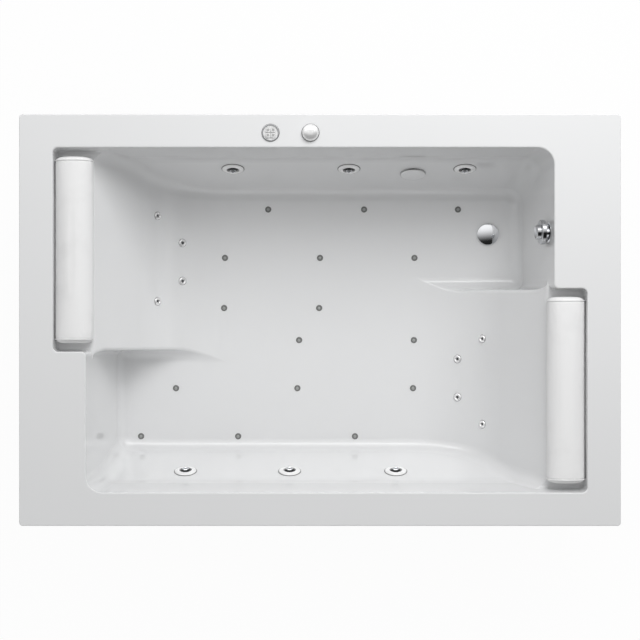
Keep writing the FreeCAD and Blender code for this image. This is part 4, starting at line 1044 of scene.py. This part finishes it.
class TUB_OT_controls(bpy.types.Operator):
    """Make the keypad's ring and keys and the domed air regulator knob"""

    bl_idname = "tub.controls"
    bl_label = "Controls"

    KEY_DEPTH = 3 * MM
    KEY_ROUND = 3 * MM
    KEY_LIFT = 0.2 * MM  # how far a key stands over its solid
    WORN_MIDDLE = 3.6 * MM
    PIP_SPACING = 2.0 * MM

    def execute(self, context):
        colours = context.scene.tub_colours
        rubber = moulded("control_seal", grey(0.10), 0.5, 500.0, 0.00004)
        seal = raised("control_seal_model", [
            (25.5, 0), (28.0, 0), (28.4, 0.3), (28.3, 0.9), (27.6, 1.1), (25.5, 1.1), (25.5, 0),
        ], hollow=True)
        ring = raised("keypad_ring_model", [
            (23.5, 0), (27, 0), (27, 3.0), (26.8, 3.9), (26.2, 4.6), (25.3, 4.95), (24.4, 4.7),
            (23.8, 4.0), (23.5, 3.1), (23.5, 0),
        ], hollow=True)
        middle = centre("keypad_bezel")
        at = Matrix.Translation((middle.x, middle.y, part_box("keypad_bezel")[0].z))
        smoky = plated("keypad_chrome", tinted(colours.chrome, 0.72), 0.08)
        install(ring, "keypad_ring", at, smoky, "tub", "chrome", "keypad_bezel")
        install(seal, "keypad_seal", at, rubber, "tub", "black_plastic")
        knob = raised("regulator_model", [
            (4.4, -15.6), (5, -15), (5, 4.6), (25.8, 4.6), (26.4, 5.1), (26.5, 6.5),
            (26.3, 8.4), (25.4, 10.6), (23.6, 12.8), (21.0, 14.7), (17.6, 16.3), (13.6, 17.5),
            (9.0, 18.2), (4.4, 18.38), (0, 18.4),
        ], sides=96)
        turn = JOINTS["air_regulator_turn"]
        at = Matrix.Translation(turn["pos_m"])
        satin = plated("satin_chrome", grey(0.93), 0.24, 0.55)
        install(knob, "regulator_dome", at, satin, turn["child"], "chrome", "air_regulator_knob")
        install(seal, "regulator_seal", at, rubber, "tub", "black_plastic")
        discard(ring, knob, seal)
        soft = moulded("key_rubber", colours.keys, 0.36, 600.0, 0.00006)
        worn = moulded("key_centre", tinted(colours.keys, 0.5), 0.44, 600.0, 0.00006)
        for number in KEYS:
            self.key(number, soft, worn)
        return {"FINISHED"}

    def key(self, number, rubber, worn):
        """A soft key with raised dots that count its number."""
        node = f"keypad_button_{number}"
        low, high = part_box(node)
        middle = centre(node)
        clear_selection()
        bpy.ops.mesh.primitive_cube_add(
            size=1, location=(middle.x, middle.y, high.z + self.KEY_LIFT - self.KEY_DEPTH / 2),
            scale=(high.x - low.x, high.y - low.y, self.KEY_DEPTH),
        )
        piece = bpy.context.view_layer.objects.active
        piece.name = f"key_cap_{number}"
        bpy.ops.object.transform_apply(location=True, rotation=True, scale=True)
        open_with(piece, lambda face: True)
        bpy.ops.mesh.bevel(offset=self.KEY_ROUND, segments=6, affect="EDGES")
        mode("OBJECT")
        pips = []
        for pip in range(number):
            dot = raised(f"dot_{pip}", [(0.7, -0.3), (0.7, 0.12), (0.5, 0.3), (0, 0.36)], sides=16)
            across = (pip - (number - 1) / 2) * self.PIP_SPACING
            place = (middle.x + across, middle.y, high.z + self.KEY_LIFT)
            dot.data.transform(Matrix.Translation(place))
            pips.append(dot)
        only(piece)
        for dot in pips:
            dot.select_set(True)
        bpy.ops.object.join()
        bpy.ops.object.shade_smooth_by_angle(angle=radians(50))
        settle(piece, rubber, f"{node}_body")
        second_finish(piece, worn, lambda face: face.center.z > high.z + 0.15 * MM and (
            (face.center.xy - middle.xy).length < self.WORN_MIDDLE
        ))
        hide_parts(node)


class TUB_OT_fasteners(bpy.types.Operator):
    """Make the bolts and screws of the frame, boards, plate and terminal box"""

    bl_idname = "tub.fasteners"
    bl_label = "Bolts and screws"

    UPRIGHTS = (  # where along the tub each upright stands, and at which side
        (-0.907, -1), (-0.907, 1), (-0.0995, 1), (0.0995, -1), (0.907, -1), (0.907, 1),
    )
    BOLT_HEIGHTS = (0.146, 0.172, 0.532, 0.557)
    BOARD_TOP = 0.144
    SCREWS_ALONG = (0.907, 0.66, 0.410)  # from the tub's middle, as are the ones across
    SCREWS_ACROSS = (0.088, 0.34, 0.592)
    PLATE_FOOT = 0.117
    PLATE_SIDE = 0.03  # from the plate's sides to its outer bolts
    PLATE_TOP = 0.013

    def execute(self, context):
        plating = zinc()
        washer = raised("washer_model", [
            (8.4, 0), (8.6, 0.3), (8.5, 1.1), (8.1, 1.3), (0, 1.3),
        ], sides=28)
        bolt = raised("bolt_model", [
            (6.7, 1.2), (6.9, 1.5), (6.9, 4.9), (6.0, 5.7), (0, 5.9),
        ], sides=6, angle=20)
        only(bolt)
        washer.select_set(True)
        bpy.ops.object.join()
        screw = raised("screw_model", [
            (4.6, 0), (4.7, 0.4), (4.4, 1.3), (3.6, 2.1), (2.2, 2.6), (2.0, 2.5), (1.7, 1.4),
            (0, 1.2),
        ], sides=20)
        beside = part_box("uprights")[1].y
        self.scatter(bolt, "frame_bolts", [
            ((x, beside * side, z), (0, side, 0))
            for x, side in self.UPRIGHTS for z in self.BOLT_HEIGHTS
        ], plating)
        self.scatter(screw, "board_screws", [
            ((side * x, -side * y, self.BOARD_TOP), (0, 0, 1))
            for side in (-1, 1) for x in self.SCREWS_ALONG for y in self.SCREWS_ACROSS
        ], plating)
        low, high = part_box("control_box_plate")
        self.scatter(bolt, "plate_bolts", [
            ((low.x, y, z), (-1, 0, 0))
            for y in (low.y + self.PLATE_SIDE, (low.y + high.y) / 2, high.y - self.PLATE_SIDE)
            for z in (self.PLATE_FOOT, high.z - self.PLATE_TOP)
        ], plating)
        lid = self.corners("pump_terminal_box", (0, 0, 1), 8 * MM)
        self.scatter(screw, "terminal_box_screws", lid, plating)
        lid = self.corners("control_box", (1, 0, 0), 14 * MM)
        self.scatter(screw, "control_box_screws", lid, plating)
        discard(bolt, screw)
        self.fan_grille()
        return {"FINISHED"}

    def corners(self, node, axis, inset):
        """Places near the four corners of a lid that faces along the axis."""
        spans = [
            (high,) if facing else (low + inset, high - inset)
            for low, high, facing in zip(*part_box(node), axis)
        ]
        return [(place, axis) for place in product(*spans)]

    def scatter(self, model, name, places, material):
        pieces = [twin(model, name, standing(place, axis)) for place, axis in places]
        only(pieces[0])
        for piece in pieces:
            piece.select_set(True)
        bpy.ops.object.join()
        joined = bpy.context.view_layer.objects.active
        joined.name = name
        settle(joined, material, "tub")

    def fan_grille(self):
        """The cover over the motor's cooling fan, each of its panels sunk between ribs."""
        grille = raised("motor_fan_grille", [
            (64, 0), (65, 0.6), (65, 4), (64, 6), (61, 7.4), (54, 8.2), (46, 8.8), (38, 9.2),
            (30, 9.5), (22, 9.7), (14, 9.8), (9, 9.8), (8, 9.2), (0, 9.0),
        ], sides=48)
        deep = sunk(grille, lambda face: True, 1.2 * MM, 4 * MM)
        middle = centre("pump_motor")
        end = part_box("pump_motor")[0].y
        grille.data.transform(standing((middle.x, end, middle.z), (0, -1, 0)))
        piece = settle(grille, painted_motor(), "tub")
        shadow = moulded("fan_shadow", (0.012, 0.012, 0.013), 0.6)
        second_finish(piece, shadow, lambda face: face.index in deep)


class TUB_OT_pillows(bpy.types.Operator):
    """Make the two filled head pillows with their piped seams"""

    bl_idname = "tub.pillows"
    bl_label = "Head pillows"

    def execute(self, context):
        sizes = context.scene.tub_sizes
        cover = upholstery(context.scene.tub_colours)
        low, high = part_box("pillow_front")
        front = filled_pillow("head_pillow_front", "pillow_front", sizes)
        soften(front)
        ends = ((low.y + sizes.pillow_seam, -1), (high.y - sizes.pillow_seam, 1))
        rings = [
            piping_ring(f"piping_front_{i + 1}", front, end, side, sizes.piping, low.z)
            for i, (end, side) in enumerate(ends)
        ]
        half_turn = Matrix.Rotation(pi, 4, "Z")
        rear = twin(front, "head_pillow_rear", half_turn)
        rear_rings = [twin(ring, f"piping_rear_{i + 1}", half_turn) for i, ring in enumerate(rings)]
        for node, piece, piping in (
            ("pillow_front", front, rings), ("pillow_rear", rear, rear_rings),
        ):
            settle(piece, cover, f"{node}_body")
            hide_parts(node)
            for ring in piping:
                only(ring)
                bpy.ops.object.shade_smooth()
                settle(ring, cover, f"{node}_body")
        return {"FINISHED"}


class TUB_OT_studio(bpy.types.Operator):
    """Set the floor, the soft lamps, the surroundings and the camera"""

    bl_idname = "tub.studio"
    bl_label = "Studio"

    AIM = Vector((0, 0, 0.4))  # what both lamps point at

    def execute(self, context):
        sizes = context.scene.tub_sizes
        self.floor()
        self.lamp("main_lamp", (1.05, 2.7, 3.4), 2.4, sizes.lamp_power)
        self.lamp("fill_lamp", (-1.4, -2.4, 3.0), 3.0, sizes.lamp_power * 0.12)
        self.surroundings(context)
        self.camera(context, sizes)
        context.scene.view_settings.view_transform = "Standard"
        return {"FINISHED"}

    def floor(self):
        """A pale matt floor that the camera and mirrors see as white."""
        clear_selection()
        bpy.ops.mesh.primitive_plane_add(size=14, location=(0, 0, 0))
        ground = bpy.context.view_layer.objects.active
        ground.name = "studio_floor"
        p = paint("studio_floor")
        seen = p.node("ShaderNodeLightPath", {}, {}, "Is Camera Ray")
        bright = (seen + seen.out("Is Glossy Ray") + seen.out("Is Transmission Ray")).least(1.0)
        tone = p.mix(grey(0.86), grey(0.82), p.noise(1.2, 2.0))
        matt = p.node("ShaderNodeBsdfDiffuse", {}, {"Color": tone})
        glow = p.node("ShaderNodeEmission", {}, {"Color": rgba(grey(1)), "Strength": 1.0})
        lit = p.node("ShaderNodeMixShader", {}, {0: bright * 0.96, 1: matt, 2: glow})
        p.node("ShaderNodeOutputMaterial", {}, {"Surface": lit})
        ground.data.materials.append(p.painted)

    def lamp(self, name, place, size, power):
        lamp = bpy.data.lights.new(name, "AREA")
        lamp.shape = "SQUARE"
        lamp.size = size
        lamp.energy = power
        holder = bpy.data.objects.new(name, lamp)
        holder.location = place
        aim = self.AIM - Vector(place)
        holder.rotation_euler = aim.to_track_quat("-Z", "Y").to_euler()
        holder.visible_glossy = False
        link(holder)

    def surroundings(self, context):
        """A white room that lights softly from above, and that polished pieces see as dark
        below, bright ahead and overhead, with one long strip lamp."""
        world = bpy.data.worlds.new("studio_room")
        context.scene.world = world
        p = Paint(world)
        way = p.node("ShaderNodeTexCoord", {}, {}, "Generated")
        across, ahead, up = (way.part(letter) for letter in "XYZ")
        soft = p.mix(grey(0.20), grey(0.58), (up * 0.75 + ahead * 0.5).ease(-0.35, 0.85))
        mirrored = up * 0.1 + ahead + across * -0.1
        overhead = p.mix(grey(0.015), grey(1.1), mirrored.ease(-0.15, 0.48))
        crisp = p.mix(overhead, grey(0.66), up.ease(0.25, 0.6, 1.0, 0.0))
        strip = ahead.ease(0.50, 0.56) * ahead.ease(0.70, 0.76, 1.0, 0.0) * up.ease(0.3, 0.5)
        crisp = p.mix(crisp, grey(3.4), strip)
        glossy = p.node("ShaderNodeLightPath", {}, {}, "Is Glossy Ray")
        tone = p.mix(p.mix(soft, crisp, glossy), grey(1), glossy.out("Is Camera Ray"))
        room = p.node("ShaderNodeBackground", {}, {"Color": tone, "Strength": 1.0})
        p.node("ShaderNodeOutputWorld", {}, {"Surface": room})

    def camera(self, context, sizes):
        lens = bpy.data.cameras.new("overhead_camera")
        lens.lens = sizes.lens
        lens.sensor_width = 36
        lens.clip_end = 60
        holder = bpy.data.objects.new("overhead_camera", lens)
        holder.location = (0, 0, sizes.camera_height)
        link(holder)
        context.scene.camera = holder


class TUB_PT_sidebar(bpy.types.Panel):
    """Lists the steps that dress the bathtub"""

    bl_idname = "TUB_PT_sidebar"
    bl_label = "Jetted bathtub"
    bl_space_type = "VIEW_3D"
    bl_region_type = "UI"
    bl_category = "Bathtub"

    def draw(self, context):
        column = self.layout.column()
        for step in STEPS:
            column.operator(step.bl_idname)
        for group in (context.scene.tub_colours, context.scene.tub_sizes):
            for name in group.__annotations__:
                column.prop(group, name)


STEPS = (
    TUB_OT_shell_finish,
    TUB_OT_fitting_finishes,
    TUB_OT_pipework_finishes,
    TUB_OT_machine_finishes,
    TUB_OT_frame_finishes,
    TUB_OT_water_jets,
    TUB_OT_small_jets,
    TUB_OT_suction,
    TUB_OT_waste,
    TUB_OT_controls,
    TUB_OT_fasteners,
    TUB_OT_pillows,
    TUB_OT_studio,
)
CLASSES = (TubColours, TubSizes, *STEPS, TUB_PT_sidebar)


def register():
    for kind in CLASSES:
        bpy.utils.register_class(kind)
    bpy.types.Scene.tub_colours = PointerProperty(type=TubColours)
    bpy.types.Scene.tub_sizes = PointerProperty(type=TubSizes)


def unregister():
    del bpy.types.Scene.tub_colours
    del bpy.types.Scene.tub_sizes
    for kind in reversed(CLASSES):
        bpy.utils.unregister_class(kind)


def main():
    register()
    bpy.ops.tub.shell_finish()
    bpy.ops.tub.fitting_finishes()
    bpy.ops.tub.pipework_finishes()
    bpy.ops.tub.machine_finishes()
    bpy.ops.tub.frame_finishes()
    bpy.ops.tub.water_jets()
    bpy.ops.tub.small_jets()
    bpy.ops.tub.suction()
    bpy.ops.tub.waste()
    bpy.ops.tub.controls()
    bpy.ops.tub.fasteners()
    bpy.ops.tub.pillows()
    bpy.ops.tub.studio()


if __name__ == "__main__":
    main()
